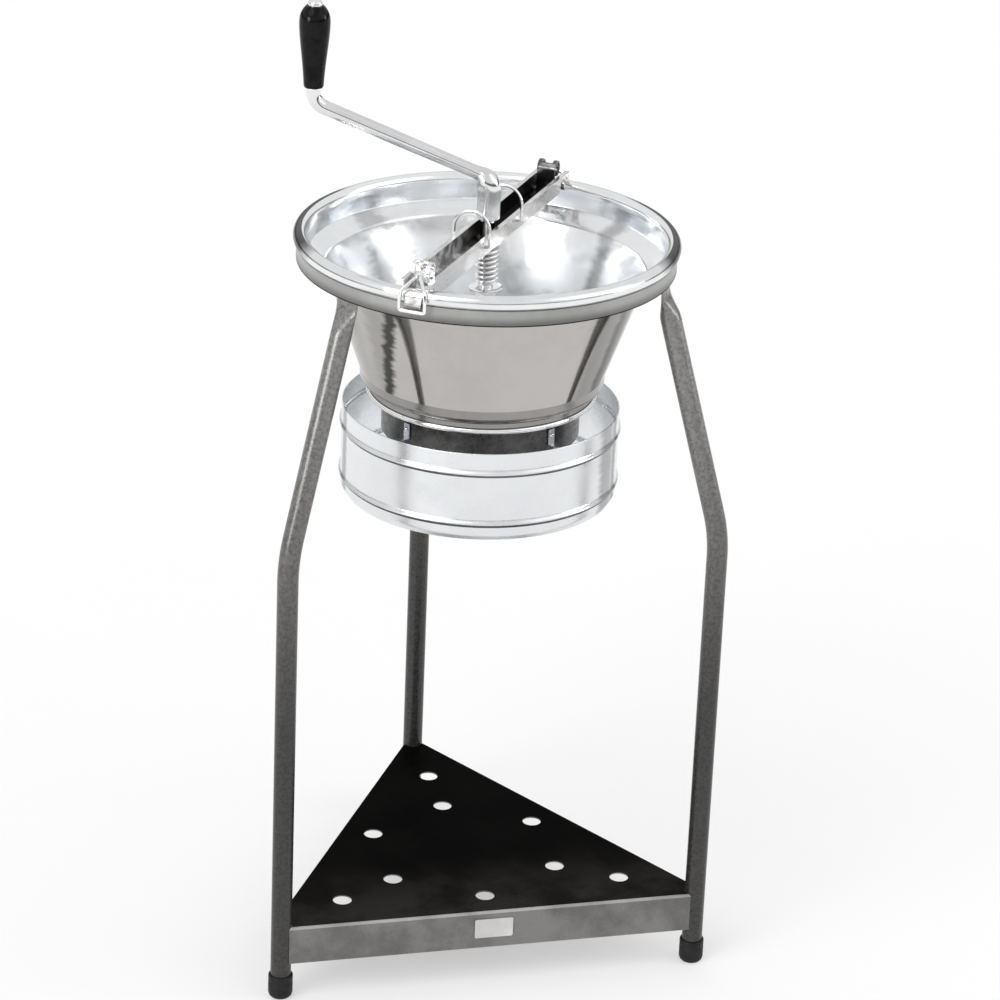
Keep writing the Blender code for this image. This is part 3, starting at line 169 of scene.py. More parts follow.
# The slot's outline from the eye's middle: along the bar, and up.
EYE_SLOT = (
    (-0.0060, -0.0095), (0.0095, -0.0095), (0.0095, 0.0095), (-0.0049, 0.0095), (-0.0049, 0.0), (-0.0060, 0.0),
)
LATCH_WIRE = 0.0019
LATCH_PIVOT = (0.1806, 0.8195)
LATCH_BOTTOM = (0.2049, 0.7866)
LATCH_END = 0.0012            # how far its ends stay inside the eye
LATCH_NECK = 0.0024           # half the loop's width where it leaves the eye
LATCH_NECK_END = (0.010, -0.002)      # from the pivot: outwards, and up
LATCH_SHOULDER = 0.0124       # half its width where it turns down
LATCH_SHOULDER_PLACE = (0.0232, -0.0125)
LATCH_UPRIGHT = -0.021        # below this it hangs upright
LATCH_SPREAD = 0.0135         # half its width at its foot
LATCH_BENDS = (0.0019, 0.004, 0.005, 0.008, 0.0022)
CATCH_REACH = 0.2003
CATCH_ROUND = 0.0042
CATCH_HEIGHT = 0.7915
CATCH_TOP = 0.801
CATCH_HALF_LENGTH = 0.0092
GUARD_WIRE = 0.0017
GUARD_REACH = 0.046
GUARD_HALF_WIDTH = 0.0195
GUARD_FOOT = 0.8055
GUARD_ARCH = 0.823
GUARD_BEND = 0.002

CRANK_RADIUS = 0.182
ROD_RADIUS = 0.0075
ROD_BORE = ROD_RADIUS + PLAY
ROD_TIP = 0.588
ROD_TIP_RADIUS = 0.0055
ROD_TIP_LENGTH = 0.0078
SLEEVE_RADIUS = 0.0121
SLEEVE_BOTTOM = 0.8205
ARM_LOW = 0.864
ARM_HIGH = 0.9362
ARM_THIN = 0.0068
ARM_BENDS = (0.019, 0.018)
ARM_SHOULDER = (0.0, 0.014)   # from the axis: where the sleeve narrows to the arm
ARM_THICKENING = (0.03, 0.13)           # and where the arm grows to the rod's own thickness
SHOULDER_HEIGHT = 0.9515
SPINDLE_RADIUS = 0.0045
SPINDLE_BORE = 0.0048
COLLAR_RADIUS = 0.012
COLLAR_HEIGHTS = (0.7349, 0.7424)
GRIP_BOTTOM = 0.9535
GRIP_LENGTH = 0.085
GRIP_RADIUS = 0.016
GRIP_WASHER_RADIUS = 0.0095
GRIP_WASHER_HEIGHTS = (0.9518, 0.9532)
SEAT_TOP = 0.7467
SEAT_DISH = ((0.0155, 0.7427), (0.0172, 0.7433), (0.018, 0.7452), (0.018, 0.7456), (0.0168, 0.7464))
SEAT_TOP_RADIUS = 0.015
SPINDLE_PAST_GRIP = 0.0031
NUT_DOME = ((0.0072, 0.0), (0.0072, 0.0022), (0.0067, 0.0036), (0.0055, 0.0046), (0.0036, 0.0053), (0.0, 0.0055))
SPRING_FOOT = 0.7470
SPRING_HEAD = 0.7927
SPRING_RADIUS = 0.011
SPRING_WIRE = 0.0015
SPRING_TURNS = 7
SPRING_END, SPRING_ELBOW = 0.003, 0.0016
HUB_RADIUS = 0.016
HUB_BOTTOM = 0.5965
HUB_TOP = 0.650
HUB_PIN_HEIGHT = 0.638
HUB_PIN_RADIUS = 0.0025
BLADE_REACH = 0.0985
BLADE_FOOT = (0.595, 0.5972)
BLADE_RISE = 0.056
BLADE_START = 20.0
BLADE_SWEEP = 195.0


# ---------------------------------------------------------------- modelling
def begin():
    """Nothing stays selected before a new primitive is added."""
    bpy.ops.object.select_all(action="DESELECT")


def only(piece):
    begin()
    piece.select_set(True)
    bpy.context.view_layer.objects.active = piece
    return piece


def placing(*columns):
    """The matrix whose columns are three directions and a place."""
    return Matrix([[column[row] for column in columns] for row in range(3)] + [[0.0, 0.0, 0.0, 1.0]])


def outline_of(name, points, filled):
    """A circle primitive whose corners are moved to the points of a closed outline."""
    begin()
    bpy.ops.mesh.primitive_circle_add(
        vertices=len(points), fill_type="NGON" if filled else "NOTHING", location=(0.0, 0.0, 0.0),
    )
    piece = bpy.context.active_object
    piece.name = piece.data.name = name
    for corner, point in zip(piece.data.vertices, points):
        corner.co = point
    return piece


def editing(piece):
    """Opens a piece for editing, with all of it selected."""
    only(piece)
    bpy.ops.object.mode_set(mode="EDIT")
    bpy.ops.mesh.select_all(action="SELECT")


def sewn(piece, smooth=32.0):
    """Merges the seam of a finished form, turns its faces outwards and smooths its round sides."""
    editing(piece)
    bpy.ops.mesh.remove_doubles(threshold=2e-6)
    bpy.ops.mesh.dissolve_degenerate(threshold=1e-7)
    bpy.ops.mesh.delete_loose(use_verts=True, use_edges=True, use_faces=False)
    bpy.ops.mesh.select_all(action="SELECT")
    bpy.ops.mesh.normals_make_consistent(inside=False)
    bpy.ops.object.mode_set(mode="OBJECT")
    bpy.ops.object.shade_smooth_by_angle(angle=math.radians(smooth))
    return piece


def turned(name, outline, steps=128):
    """An outline of (radius, height) points, spun about the upright axis."""
    piece = outline_of(name, [(radius, 0.0, height) for radius, height in outline], filled=False)
    editing(piece)
    bpy.ops.mesh.spin(steps=steps, angle=math.tau, center=(0.0, 0.0, 0.0), axis=(0.0, 0.0, 1.0))
    bpy.ops.object.mode_set(mode="OBJECT")
    return sewn(piece)


def ring(name, bore, radius, low, high, steps=48):
    """A flat or tall ring with square edges."""
    return turned(name, [(bore, low), (radius, low), (radius, high), (bore, high)], steps)


def stretched(piece, run):
    """Extrudes a flat outline by one straight run."""
    editing(piece)
    bpy.ops.mesh.extrude_region_move(TRANSFORM_OT_translate={"value": run})
    bpy.ops.object.mode_set(mode="OBJECT")
    return sewn(piece)


def pressed(name, outline, low, high):
    """A flat outline of (x, z) points, extruded across Y."""
    piece = outline_of(name, [(x, low, z) for x, z in outline], filled=True)
    return stretched(piece, (0.0, high - low, 0.0))


def swept(piece, moves, smooth):
    """Extrudes a flat outline once for each move, and moves the new corners by it."""
    editing(piece)
    for move in moves:
        bpy.ops.mesh.extrude_region_move()
        form = bmesh.from_edit_mesh(piece.data)
        bmesh.ops.transform(form, matrix=move, verts=[corner for corner in form.verts if corner.select])
    bmesh.update_edit_mesh(piece.data)
    bpy.ops.object.mode_set(mode="OBJECT")
    return sewn(piece, smooth)


def drawn(name, path, widths, sides=20):
    """A bar drawn along a path. Each width is a pair: half across the path's plane, half within it."""
    along_y = abs((path[1] - path[0]).normalized().y) > 0.7
    across = Vector((1.0, 0.0, 0.0)) if along_y else Vector((0.0, 1.0, 0.0))
    places = []
    for i, (point, (wide, thick)) in enumerate(zip(path, widths)):
        run = (path[min(i + 1, len(path) - 1)] - path[max(i - 1, 0)]).normalized()
        across = (across - run * across.dot(run)).normalized()
        places.append(placing(across * wide, across.cross(run) * thick, run * LEG_RADIUS, point))
    circle = [(math.cos(math.tau * k / sides), math.sin(math.tau * k / sides), 0.0) for k in range(sides)]
    piece = outline_of(name, [places[0] @ Vector(corner) for corner in circle], filled=True)
    return swept(piece, [there @ here.inverted() for here, there in zip(places, places[1:])], smooth=50.0)


def wire(name, path, radius, sides=14):
    """A round wire of one thickness along a path."""
    return drawn(name, path, [(radius, radius)] * len(path), sides)


def arc(centre, radius, start, end, steps):
    """Points on an arc in the plane of its centre, with angles in degrees."""
    angles = [math.radians(start + (end - start) * i / steps) for i in range(steps + 1)]
    return [(centre[0] + radius * math.cos(a), centre[1] + radius * math.sin(a)) for a in angles]


def rounded(corners, radii, steps=8):
    """Straight runs between corners, with an arc of the given radius at each inner corner."""
    corners = [Vector(corner) for corner in corners]
    path = [corners[0]]
    for before, here, after, radius in zip(corners, corners[1:], corners[2:], radii):
        inward, onward = (before - here).normalized(), (after - here).normalized()
        half = (math.pi - inward.angle(onward)) / 2
        centre = here + (inward + onward).normalized() * radius / math.cos(half)
        first = here + inward * radius * math.tan(half) - centre
        axis = first.cross(here - centre)
        for i in range(steps + 1):
            path.append(centre + Matrix.Rotation(2 * half * i / steps, 3, axis) @ first)
    path.append(corners[-1])
    return path


def softened(piece, width, segments=2, angle=40.0):
    """Takes the sharpness off the edges of a piece."""
    only(piece)
    edge = piece.modifiers.new("soft edges", "BEVEL")
    edge.width = width
    edge.segments = segments
    edge.limit_method = "ANGLE"
    edge.angle_limit = math.radians(angle)
    bpy.ops.object.modifier_apply(modifier=edge.name)
    bpy.ops.object.shade_smooth_by_angle(angle=math.radians(50.0))
    flats = piece.modifiers.new("flats stay flat", "WEIGHTED_NORMAL")
    flats.keep_sharp = True
    bpy.ops.object.modifier_apply(modifier=flats.name)
    return piece


def drill(radius, depth, place, sides=40):
    """A cylinder to cut a hole with."""
    begin()
    bpy.ops.mesh.primitive_cylinder_add(vertices=sides, radius=radius, depth=depth, location=place)
    return bpy.context.active_object


def cut(piece, cutter, solver="EXACT"):
    """Takes a cutter out of a piece and throws the cutter away."""
    only(piece)
    step = piece.modifiers.new("cut", "BOOLEAN")
    step.operation = "DIFFERENCE"
    step.solver = solver
    step.object = cutter
    bpy.ops.object.modifier_apply(modifier=step.name)
    bpy.data.objects.remove(cutter)
    return piece


def settled(piece, azimuth=0.0, place=MILL_AXIS):
    """Turns a piece about the upright axis, moves it to its place and leaves its object at the origin."""
    only(piece)
    piece.rotation_euler = (0.0, 0.0, math.radians(azimuth))
    piece.location = place
    bpy.ops.object.transform_apply(location=True, rotation=True, scale=True)
    return piece


def refaced(piece, chosen):
    """Gives faces another finish where a rule names one for them."""
    finishes = list(piece.data.materials)
    for face in piece.data.polygons:
        finish = chosen(face)
        if finish is None:
            continue
        if finish not in finishes:
            finishes.append(finish)
            piece.data.materials.append(finish)
        face.material_index = finishes.index(finish)


def dress(piece, finish, body, *nodes, slot):
    """Gives a piece its finish, its body and the solids that it stands for."""
    piece.data.materials.clear()
    piece.data.materials.append(finish)
    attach(piece, body)
    if nodes:
        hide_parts(*nodes)
    return piece


def around(radius, azimuth, height=0.0):
    """A point at a distance and an azimuth from the upright axis."""
    turn = math.radians(azimuth)
    return Vector((radius * math.cos(turn), radius * math.sin(turn), height))


def portion(value, start, end):
    """How far a value is on its way from start to end: nought to one."""
    return min(max((value - start) / (end - start), 0.0), 1.0)


def eased(value, start, end):
    """The same, with a smooth start and end."""
    share = portion(value, start, end)
    return share * share * (3 - 2 * share)


# ---------------------------------------------------------------- finishes
def node(tree, kind, place=(0, 0), inputs=None, **settings):
    """Adds a shader node. Each of its inputs is given as a value or as another node's output."""
    made = tree.nodes.new(kind)
    made.location = place
    for key, value in settings.items():
        setattr(made, key, value)
    for key, value in (inputs or {}).items():
        if isinstance(value, bpy.types.NodeSocket):
            tree.links.new(value, made.inputs[key])
        else:
            made.inputs[key].default_value = value
    return made


def reckoned(tree, where, operation, *values, clamped=False):
    """The result of one operation on values or outputs."""
    made = node(tree, "ShaderNodeMath", where, dict(enumerate(values)), operation=operation, use_clamp=clamped)
    return made.outputs[0]


def ranged(tree, where, value, start, end, low=0.0, high=1.0, kind="SMOOTHSTEP"):
    """Maps the range from start to end onto the range from low to high."""
    values = {"Value": value, "From Min": start, "From Max": end, "To Min": low, "To Max": high}
    return node(tree, "ShaderNodeMapRange", where, values, interpolation_type=kind).outputs[0]


def effect(name, inputs, *outputs):
    """An empty shader node group. Its inputs are numbers, or vectors where no number is given."""
    group = bpy.data.node_groups.new(name, "ShaderNodeTree")
    for label, value in inputs.items():
        kind = "NodeSocketVector" if value is None else "NodeSocketFloat"
        made = group.interface.new_socket(label, in_out="INPUT", socket_type=kind)
        if value is not None:
            made.default_value = value
    for label in outputs:
        group.interface.new_socket(label, in_out="OUTPUT", socket_type="NodeSocketFloat")
    return group, node(group, "NodeGroupInput", (-900, 0)).outputs


def handed_out(group, **outputs):
    node(group, "NodeGroupOutput", (600, 0), outputs)
    return group


def make_clouding():
    """Soft patches of two tones, as on handled sheet metal: a mask from nought to one."""
    group, given = effect("clouding", {"Vector": None, "Scale": 9.0, "Hardness": 0.5}, "Mask")
    broad = node(group, "ShaderNodeTexNoise", (-600, 100), {
        "Vector": given["Vector"], "Scale": given["Scale"], "Detail": 5.0, "Roughness": 0.62,
    })
    low = reckoned(group, (-400, -150), "MULTIPLY_ADD", given["Hardness"], 0.18, 0.32)
    high = reckoned(group, (-400, -320), "MULTIPLY_ADD", given["Hardness"], -0.18, 0.68)
    return handed_out(group, Mask=ranged(group, (-150, 50), broad.outputs["Fac"], low, high))


def make_drawing_lines():
    """Fine lines left by rolling or spinning: a height that changes fast along Z and slowly round the piece."""
    group, given = effect("drawing_lines", {"Vector": None, "Along": 6.0, "Across": 900.0}, "Height")
    along, across = given["Along"], given["Across"]
    scale = node(group, "ShaderNodeCombineXYZ", (-700, -100), {"X": along, "Y": along, "Z": across})
    stretch = node(
        group, "ShaderNodeVectorMath", (-500, 0), {0: given["Vector"], 1: scale.outputs[0]}, operation="MULTIPLY",
    )
    lines = node(group, "ShaderNodeTexNoise", (-250, 0), {"Vector": stretch.outputs[0], "Scale": 1.0, "Detail": 3.0})
    return handed_out(group, Height=lines.outputs["Fac"])


def make_pitting():
    """Small scattered marks in a share of the cells: a mask of spots, and the hollows that they leave."""
    inputs = {"Vector": None, "Scale": 160.0, "Amount": 0.2, "Share": 1.0}
    group, given = effect("pitting", inputs, "Mask", "Height")
    source = {"Vector": given["Vector"], "Scale": given["Scale"]}
    cells = node(group, "ShaderNodeTexVoronoi", (-600, 100), source).outputs
    fine = node(group, "ShaderNodeTexNoise", (-600, -200), {**source, "Detail": 4.0})
    near = ranged(group, (-350, 100), cells["Distance"], 0.0, given["Amount"], 1.0, 0.0)
    apart = node(group, "ShaderNodeSeparateXYZ", (-500, 300), {0: cells["Color"]})
    chosen = reckoned(group, (-350, 300), "LESS_THAN", apart.outputs["X"], given["Share"])
    marks = reckoned(group, (-200, 200), "MULTIPLY", near, chosen)
    depth = reckoned(group, (-100, -50), "MULTIPLY_ADD", marks, -1.0, fine.outputs["Fac"])
    return handed_out(group, Mask=marks, Height=depth)


def make_painted_reflection():
    """An upright streak of painted dark reflection on a round wall at one azimuth about the mill's axis: a mask with
    ragged sides.
    """
    inputs = {"Vector": None, "Turn": 0.0, "Inner": 0.05, "Outer": 0.10, "Ragged": 0.05, "Lean": 0.0}
    group, given = effect("painted_reflection", inputs, "Mask")
    turned_back = node(group, "ShaderNodeVectorRotate", (-700, 100), {
        "Vector": given["Vector"], "Center": MILL_AXIS, "Angle": given["Turn"],
    }, rotation_type="Z_AXIS")
    parts = node(group, "ShaderNodeSeparateXYZ", (-500, 100), {0: turned_back.outputs[0]}).outputs
    aside = reckoned(group, (-350, 200), "ADD", parts["Y"], -MILL_AXIS.y)
    angle = reckoned(group, (-200, 150), "ARCTAN2", aside, parts["X"])
    height = reckoned(group, (-350, -50), "SUBTRACT", parts["Z"], (CONE_TOP[1] + CONE_BOTTOM[1]) / 2)
    leaned = reckoned(group, (-200, -50), "MULTIPLY", height, given["Lean"])
    upright = reckoned(group, (-50, 100), "SUBTRACT", angle, leaned)
    combed = node(
        group, "ShaderNodeVectorMath", (-700, -250), {0: given["Vector"], 1: (1.0, 1.0, 5.0)}, operation="MULTIPLY",
    )
    noise = node(group, "ShaderNodeTexNoise", (-500, -250), {"Vector": combed.outputs[0], "Scale": 36.0, "Detail": 6.0})
    middle = reckoned(group, (-350, -250), "SUBTRACT", noise.outputs["Fac"], 0.5)
    torn = reckoned(group, (50, -50), "MULTIPLY_ADD", middle, given["Ragged"], upright)
    apart = reckoned(group, (200, -50), "ABSOLUTE", torn)
    return handed_out(group, Mask=ranged(group, (400, 0), apart, given["Inner"], given["Outer"], 1.0, 0.0))


CLOUDING = make_clouding()
DRAWING_LINES = make_drawing_lines()
PITTING = make_pitting()
PAINTED_REFLECTION = make_painted_reflection()


def surface(name, metallic, clearcoat=0.0, shine=0.5):
    """A new material with its shader, and a start for its pattern nodes on the piece's own place."""
    material = bpy.data.materials.new(name)
    material.use_nodes = True
    tree = material.node_tree
    shader = tree.nodes["Principled BSDF"]
    for key, value in (("Metallic", metallic), ("Coat Weight", clearcoat), ("Specular IOR Level", shine)):
        shader.inputs[key].default_value = value
    return material, tree, shader, node(tree, "ShaderNodeTexCoord", (-1100, 0)).outputs["Object"]


def applied(tree, shader, colour, roughness, normal=None):
    """Links a colour, a roughness and a normal into a shader."""
    tree.links.new(colour, shader.inputs["Base Color"])
    tree.links.new(roughness, shader.inputs["Roughness"])
    if normal:
        tree.links.new(normal, shader.inputs["Normal"])


def placed(tree, group, where, vector, **values):
    """A shared effect with its own values. Its outputs are given back."""
    made = node(tree, "ShaderNodeGroup", where, node_tree=group)
    tree.links.new(vector, made.inputs["Vector"])
    for key, value in values.items():
        made.inputs[key.capitalize()].default_value = value
    return made.outputs


def tone(tree, where, mask, dark, pale):
    """Mixes two tones by a mask. Each is a colour or another node's output."""
    first, second = [
        shade if isinstance(shade, bpy.types.NodeSocket) else (*shade, 1.0) for shade in (dark, pale)
    ]
    values = {"Factor": mask, "A": first, "B": second}
    return node(tree, "ShaderNodeMix", where, values, data_type="RGBA").outputs["Result"]


def spread(tree, where, value, low, high):
    """Maps nought to one onto a range."""
    return ranged(tree, where, value, 0.0, 1.0, low, high, kind="LINEAR")


def relief(tree, where, height, strength, distance, under=None):
    values = {"Height": height, "Strength": strength, "Distance": distance}
    if under:
        values["Normal"] = under
    return node(tree, "ShaderNodeBump", where, values).outputs["Normal"]


def with_painted_reflection(tree, where, place, colour, azimuth, inner, outer, ragged, lean, share):
    """Darkens a colour along an upright streak of painted dark reflection. Angles are in degrees, the lean in degrees
    per metre.
    """
    angles = {"turn": -azimuth, "inner": inner, "outer": outer, "ragged": ragged, "lean": lean}
    painted_reflection = placed(tree, PAINTED_REFLECTION, where, place, **{key: math.radians(value) for key, value in angles.items()})
    faint = reckoned(tree, (where[0] + 200, where[1]), "MULTIPLY", painted_reflection["Mask"], share)
    return tone(tree, (where[0] + 400, where[1]), faint, colour, grey(0.015))


def sheet_metal(name, dark, pale, smooth, rough, cloud_scale=5.0, line_strength=0.05, painted_reflections=()):
    """Tinned sheet: faint clouds, fine rolling lines, a few small spots and any streaks of painted dark reflection."""
    material, tree, shader, place = surface(name, metallic=1.0)
    clouds = placed(tree, CLOUDING, (-800, 200), place, scale=cloud_scale, hardness=0.0)
    small = placed(tree, CLOUDING, (-800, 0), place, scale=cloud_scale * 7, hardness=0.2)
    lines = placed(tree, DRAWING_LINES, (-800, -200), place)
    marks = placed(tree, PITTING, (-800, -400), place, scale=60.0, amount=0.07, share=0.12)
    both = reckoned(tree, (-550, 150), "MULTIPLY_ADD", small["Mask"], 0.3, clouds["Mask"], clamped=True)
    colour = tone(tree, (-300, 250), both, dark, pale)
    colour = tone(tree, (-100, 250), marks["Mask"], colour, [0.3 * value for value in dark])
    for i, painted_reflection in enumerate(painted_reflections):
        colour = with_painted_reflection(tree, (-800, 600 + 200 * i), place, colour, *painted_reflection)
    lined = relief(tree, (-300, -250), lines["Height"], line_strength, 0.0004)
    pitted = relief(tree, (-100, -350), marks["Height"], 0.03, 0.0003, lined)
    applied(tree, shader, colour, spread(tree, (-300, 0), small["Mask"], smooth, rough), pitted)
    return material


def bright_metal(name, dark, pale, smooth, rough):
    """Plated wire and rod: bright, with fine handling scratches."""
    material, tree, shader, place = surface(name, metallic=1.0)
    clouds = placed(tree, CLOUDING, (-800, 200), place, scale=30.0, hardness=0.0)
    marks = placed(tree, PITTING, (-800, -200), place, scale=260.0, amount=0.14, share=0.3)
    applied(
        tree, shader, tone(tree, (-300, 250), clouds["Mask"], dark, pale),
        spread(tree, (-300, 0), clouds["Mask"], rough, smooth),
        relief(tree, (-300, -250), marks["Height"], 0.05, 0.0002),
    )
    return material


def graded(tree, where, place, direction, low, high):
    """A mask that rises from nought to one between two distances along a direction."""
    along = node(tree, "ShaderNodeVectorMath", where, {0: place, 1: direction}, operation="DOT_PRODUCT")
    return ranged(tree, (where[0] + 200, where[1]), along.outputs["Value"], low, high)


def channel_inside_painted_light():
    """The inside of the channel: painted light at its front end and painted shade behind the rod."""
    material, tree, shader, place = surface("bar_steel_inside_painted_light", metallic=1.0)
    clouds = placed(tree, CLOUDING, (-800, 200), place, scale=60.0, hardness=0.4)["Mask"]
    turn = math.radians(BAR_AZIMUTH)
    rear = graded(tree, (-800, 450), place, (math.cos(turn), math.sin(turn), 0.0), -0.09, -0.03)
    front_tone = tone(tree, (-300, 250), clouds, grey(0.35), grey(0.95))
    rear_tone = tone(tree, (-300, 450), clouds, grey(0.010), grey(0.030))
    colour = tone(tree, (-100, 350), rear, front_tone, rear_tone)
    applied(tree, shader, colour, spread(tree, (-300, 0), clouds, 0.36, 0.50))
    return material


def stove_paint(
    name, dark, pale, metallic, smooth, rough, grain_scale, grain_strength,
    painted_light_gain=1.0, painted_light_along=(0.0, 0.0, 1.0), painted_light_range=(0.0, 1.0), shine=0.5, patches=14.0,
):
    """Hard paint on steel with a fine sprayed grain, and painted light that makes it paler towards one side."""
    material, tree, shader, place = surface(name, metallic, shine=shine)
    clouds = placed(tree, CLOUDING, (-800, 200), place, scale=patches, hardness=0.3)["Mask"]
    grain = placed(tree, PITTING, (-800, -200), place, scale=grain_scale, amount=0.45, share=0.55)
    half = reckoned(tree, (-650, 250), "MULTIPLY", clouds, 0.7)
    speck = reckoned(tree, (-550, 100), "MULTIPLY_ADD", grain["Mask"], 0.4, half, clamped=True)
    colour = tone(tree, (-300, 250), speck, dark, pale)
    # Painted light: the tone rises towards one side.
    if painted_light_gain > 1.0:
        lit_share = graded(tree, (-800, 450), place, painted_light_along, *painted_light_range)
        lit_tone = tone(tree, (-300, 450), speck, *[[painted_light_gain * value for value in shade] for shade in (dark, pale)])
        colour = tone(tree, (-100, 350), lit_share, colour, lit_tone)
    rough_patches = spread(tree, (-300, 0), clouds, smooth, rough)
    applied(tree, shader, colour, rough_patches, relief(tree, (-300, -250), grain["Height"], grain_strength, 0.0003))
    return material


def moulded(name, colour, smooth, rough, clearcoat, grain_strength, shine=0.25):
    """Moulded rubber or plastic."""
    material, tree, shader, place = surface(name, 0.0, clearcoat, shine)
    clouds = placed(tree, CLOUDING, (-800, 200), place, scale=60.0, hardness=0.5)["Mask"]
    grain = placed(tree, PITTING, (-800, -200), place, scale=420.0, amount=0.3)
    pale = [1.6 * value + 0.004 for value in colour]
    applied(
        tree, shader, tone(tree, (-300, 250), clouds, colour, pale), spread(tree, (-300, 0), clouds, smooth, rough),
        relief(tree, (-300, -250), grain["Height"], grain_strength, 0.0002),
    )
    return material


def grey(value, warmth=0.0):
    return (value * (1 + warmth), value, value * (1 - warmth))


# Each painted dark reflection: azimuth, inner and outer half width, raggedness, lean, share of the darkness.
HOPPER_PAINTED_REFLECTIONS = (
    (215.5, 1.0, 4.5, 7.0, 110.0, 0.88),
    (210.0, 1.0, 10.0, 9.0, 60.0, 0.25),
    (186.0, 8.0, 20.0, 6.0, 0.0, 0.25),
    (322.0, 4.0, 9.0, 5.0, 0.0, 0.85),
    (310.0, 3.0, 14.0, 3.0, 0.0, 0.45),
)
# The cone's outside is the same tin as its inside, painted about half as bright: painted shade for its darker
# reflections, with streaks of painted dark reflection.
TIN_OUTSIDE_PAINTED_SHADE = sheet_metal(
    "tinned_sheet_outside_painted_shade", grey(0.42, 0.035), grey(0.48, 0.035), 0.04, 0.08, painted_reflections=HOPPER_PAINTED_REFLECTIONS,
)
# Two streaks of painted dark reflection on the inside.
TIN_INSIDE = sheet_metal(
    "tinned_sheet_inside", grey(0.86, -0.015), grey(0.96, -0.015), 0.12, 0.22, cloud_scale=7.0,
    painted_reflections=((26.0, 1.0, 6.0, 6.0, 0.0, 0.42), (122.0, 3.0, 9.0, 12.0, 0.0, 0.35)),
)
# The skirt's dark streaks are painted dark reflection.
TIN_SKIRT = sheet_metal(
    "tinned_sheet_skirt", grey(0.76, -0.02), grey(0.85, -0.02), 0.26, 0.36,
    painted_reflections=((322.0, 3.0, 9.0, 6.0, 0.0, 0.50), (331.0, 1.0, 4.0, 4.0, 0.0, 0.60), (181.0, 1.5, 5.0, 3.0, 0.0, 0.50)),
)
# Painted shade for the outward faces under the skirt's beads.
TIN_PAINTED_SHADE_UNDER_BEAD = sheet_metal("painted_shade_under_bead", grey(0.06), grey(0.16), 0.30, 0.40)
# Bright tin for the rim, also used as a painted highlight line round the cone's foot and on the lower half of the
# neck's bead.
TIN_RIM_AND_PAINTED_HIGHLIGHT = sheet_metal("tinned_rim_and_painted_highlight", grey(0.90, -0.01), grey(0.97, -0.01), 0.10, 0.18, line_strength=0.02)
# Its two darkened stretches, at the sides, are painted dark reflection.
TIN_ROLL = sheet_metal(
    "tinned_roll_outside", grey(0.80, -0.01), grey(0.90, -0.01), 0.16, 0.26, line_strength=0.02,
    painted_reflections=((158.0, 24.0, 36.0, 6.0, 0.0, 0.97), (354.0, 24.0, 36.0, 6.0, 0.0, 0.97)),
)
# Painted shade for the faces under the cone's shoulder and above the neck's bead.
TIN_SHOULDER_PAINTED_SHADE = sheet_metal("tinned_shoulder_painted_shade", grey(0.24, 0.03), grey(0.32, 0.03), 0.16, 0.26)
# Painted shade for the neck's wall, which stands under the hopper.
TIN_NECK_PAINTED_SHADE = sheet_metal("tinned_neck_painted_shade", grey(0.045, 0.03), grey(0.15, 0.03), 0.20, 0.36, cloud_scale=22.0)
BRIGHT = bright_metal("bright_wire", grey(0.92), grey(0.97), 0.10, 0.18)
CATCH_STEEL = bright_metal("dull_catch_steel", grey(0.10, 0.03), grey(0.45, 0.03), 0.30, 0.42)
# The rear eye's steel, darkened as painted dark reflection.
STEEL_PAINTED_DARK_REFLECTION = bright_metal("steel_painted_dark_reflection", grey(0.03), grey(0.30), 0.14, 0.26)
ROD_STEEL = bright_metal("rod_steel", grey(0.74), grey(0.84), 0.08, 0.16)
BAR_STEEL = bright_metal("bar_steel", grey(0.66, 0.02), grey(0.80, 0.02), 0.16, 0.28)
BAR_HOLLOW_PAINTED_LIGHT = channel_inside_painted_light()
BUSH_BRASS = bright_metal("turned_brass", (0.26, 0.23, 0.17), (0.40, 0.36, 0.28), 0.28, 0.42)
# Painted light: the legs grow paler towards their tops and stay dark low down.
LEG_PAINT = stove_paint(
    "dark_grey_paint", grey(0.034, 0.03), grey(0.058, 0.03), 0.45, 0.26, 0.34, 620.0, 0.22,
    painted_light_gain=5.2, painted_light_range=(0.28, 0.77), patches=260.0,
)
# Painted shade: darker in the band's lower half, paler above.
HOOP_PAINT = stove_paint(
    "mid_grey_paint", grey(0.12, 0.01), grey(0.16, 0.01), 0.25, 0.30, 0.42, 700.0, 0.10,
    painted_light_gain=2.5, painted_light_range=(0.776, 0.787),
)
# Near-black paint with a painted sheen growing towards the front; also the painted shadow line under the hoop.
BLACK_PAINT_PAINTED_SHEEN_AND_SHADOW = stove_paint(
    "black_paint", grey(0.001, 0.08), grey(0.004, 0.08), 0.0, 0.50, 0.60, 620.0, 0.12,
    painted_light_gain=7.0, painted_light_along=(0.0, -1.0, 0.0), painted_light_range=(0.04, 0.17), shine=0.01,
)
# The tray's upright faces are the same black paint, coloured grey as a painted sheen.
APRON_PAINTED_SHEEN = stove_paint("apron_painted_sheen", grey(0.11, 0.03), grey(0.22, 0.03), 0.25, 0.32, 0.46, 480.0, 0.25)
# A painted highlight along the tray's front fold.
PAINTED_FOLD_HIGHLIGHT = stove_paint("painted_fold_highlight", grey(0.30, 0.02), grey(0.46, 0.02), 0.40, 0.28, 0.40, 480.0, 0.20)
FOOT_RUBBER = moulded("black_rubber", grey(0.006), 0.50, 0.68, 0.0, 0.30)
GRIP_PLASTIC = moulded("black_grip", grey(0.002), 0.08, 0.16, 0.03, 0.02, shine=0.12)
BADGE_PLATE = bright_metal("badge_plate", grey(0.62), grey(0.74), 0.30, 0.44)


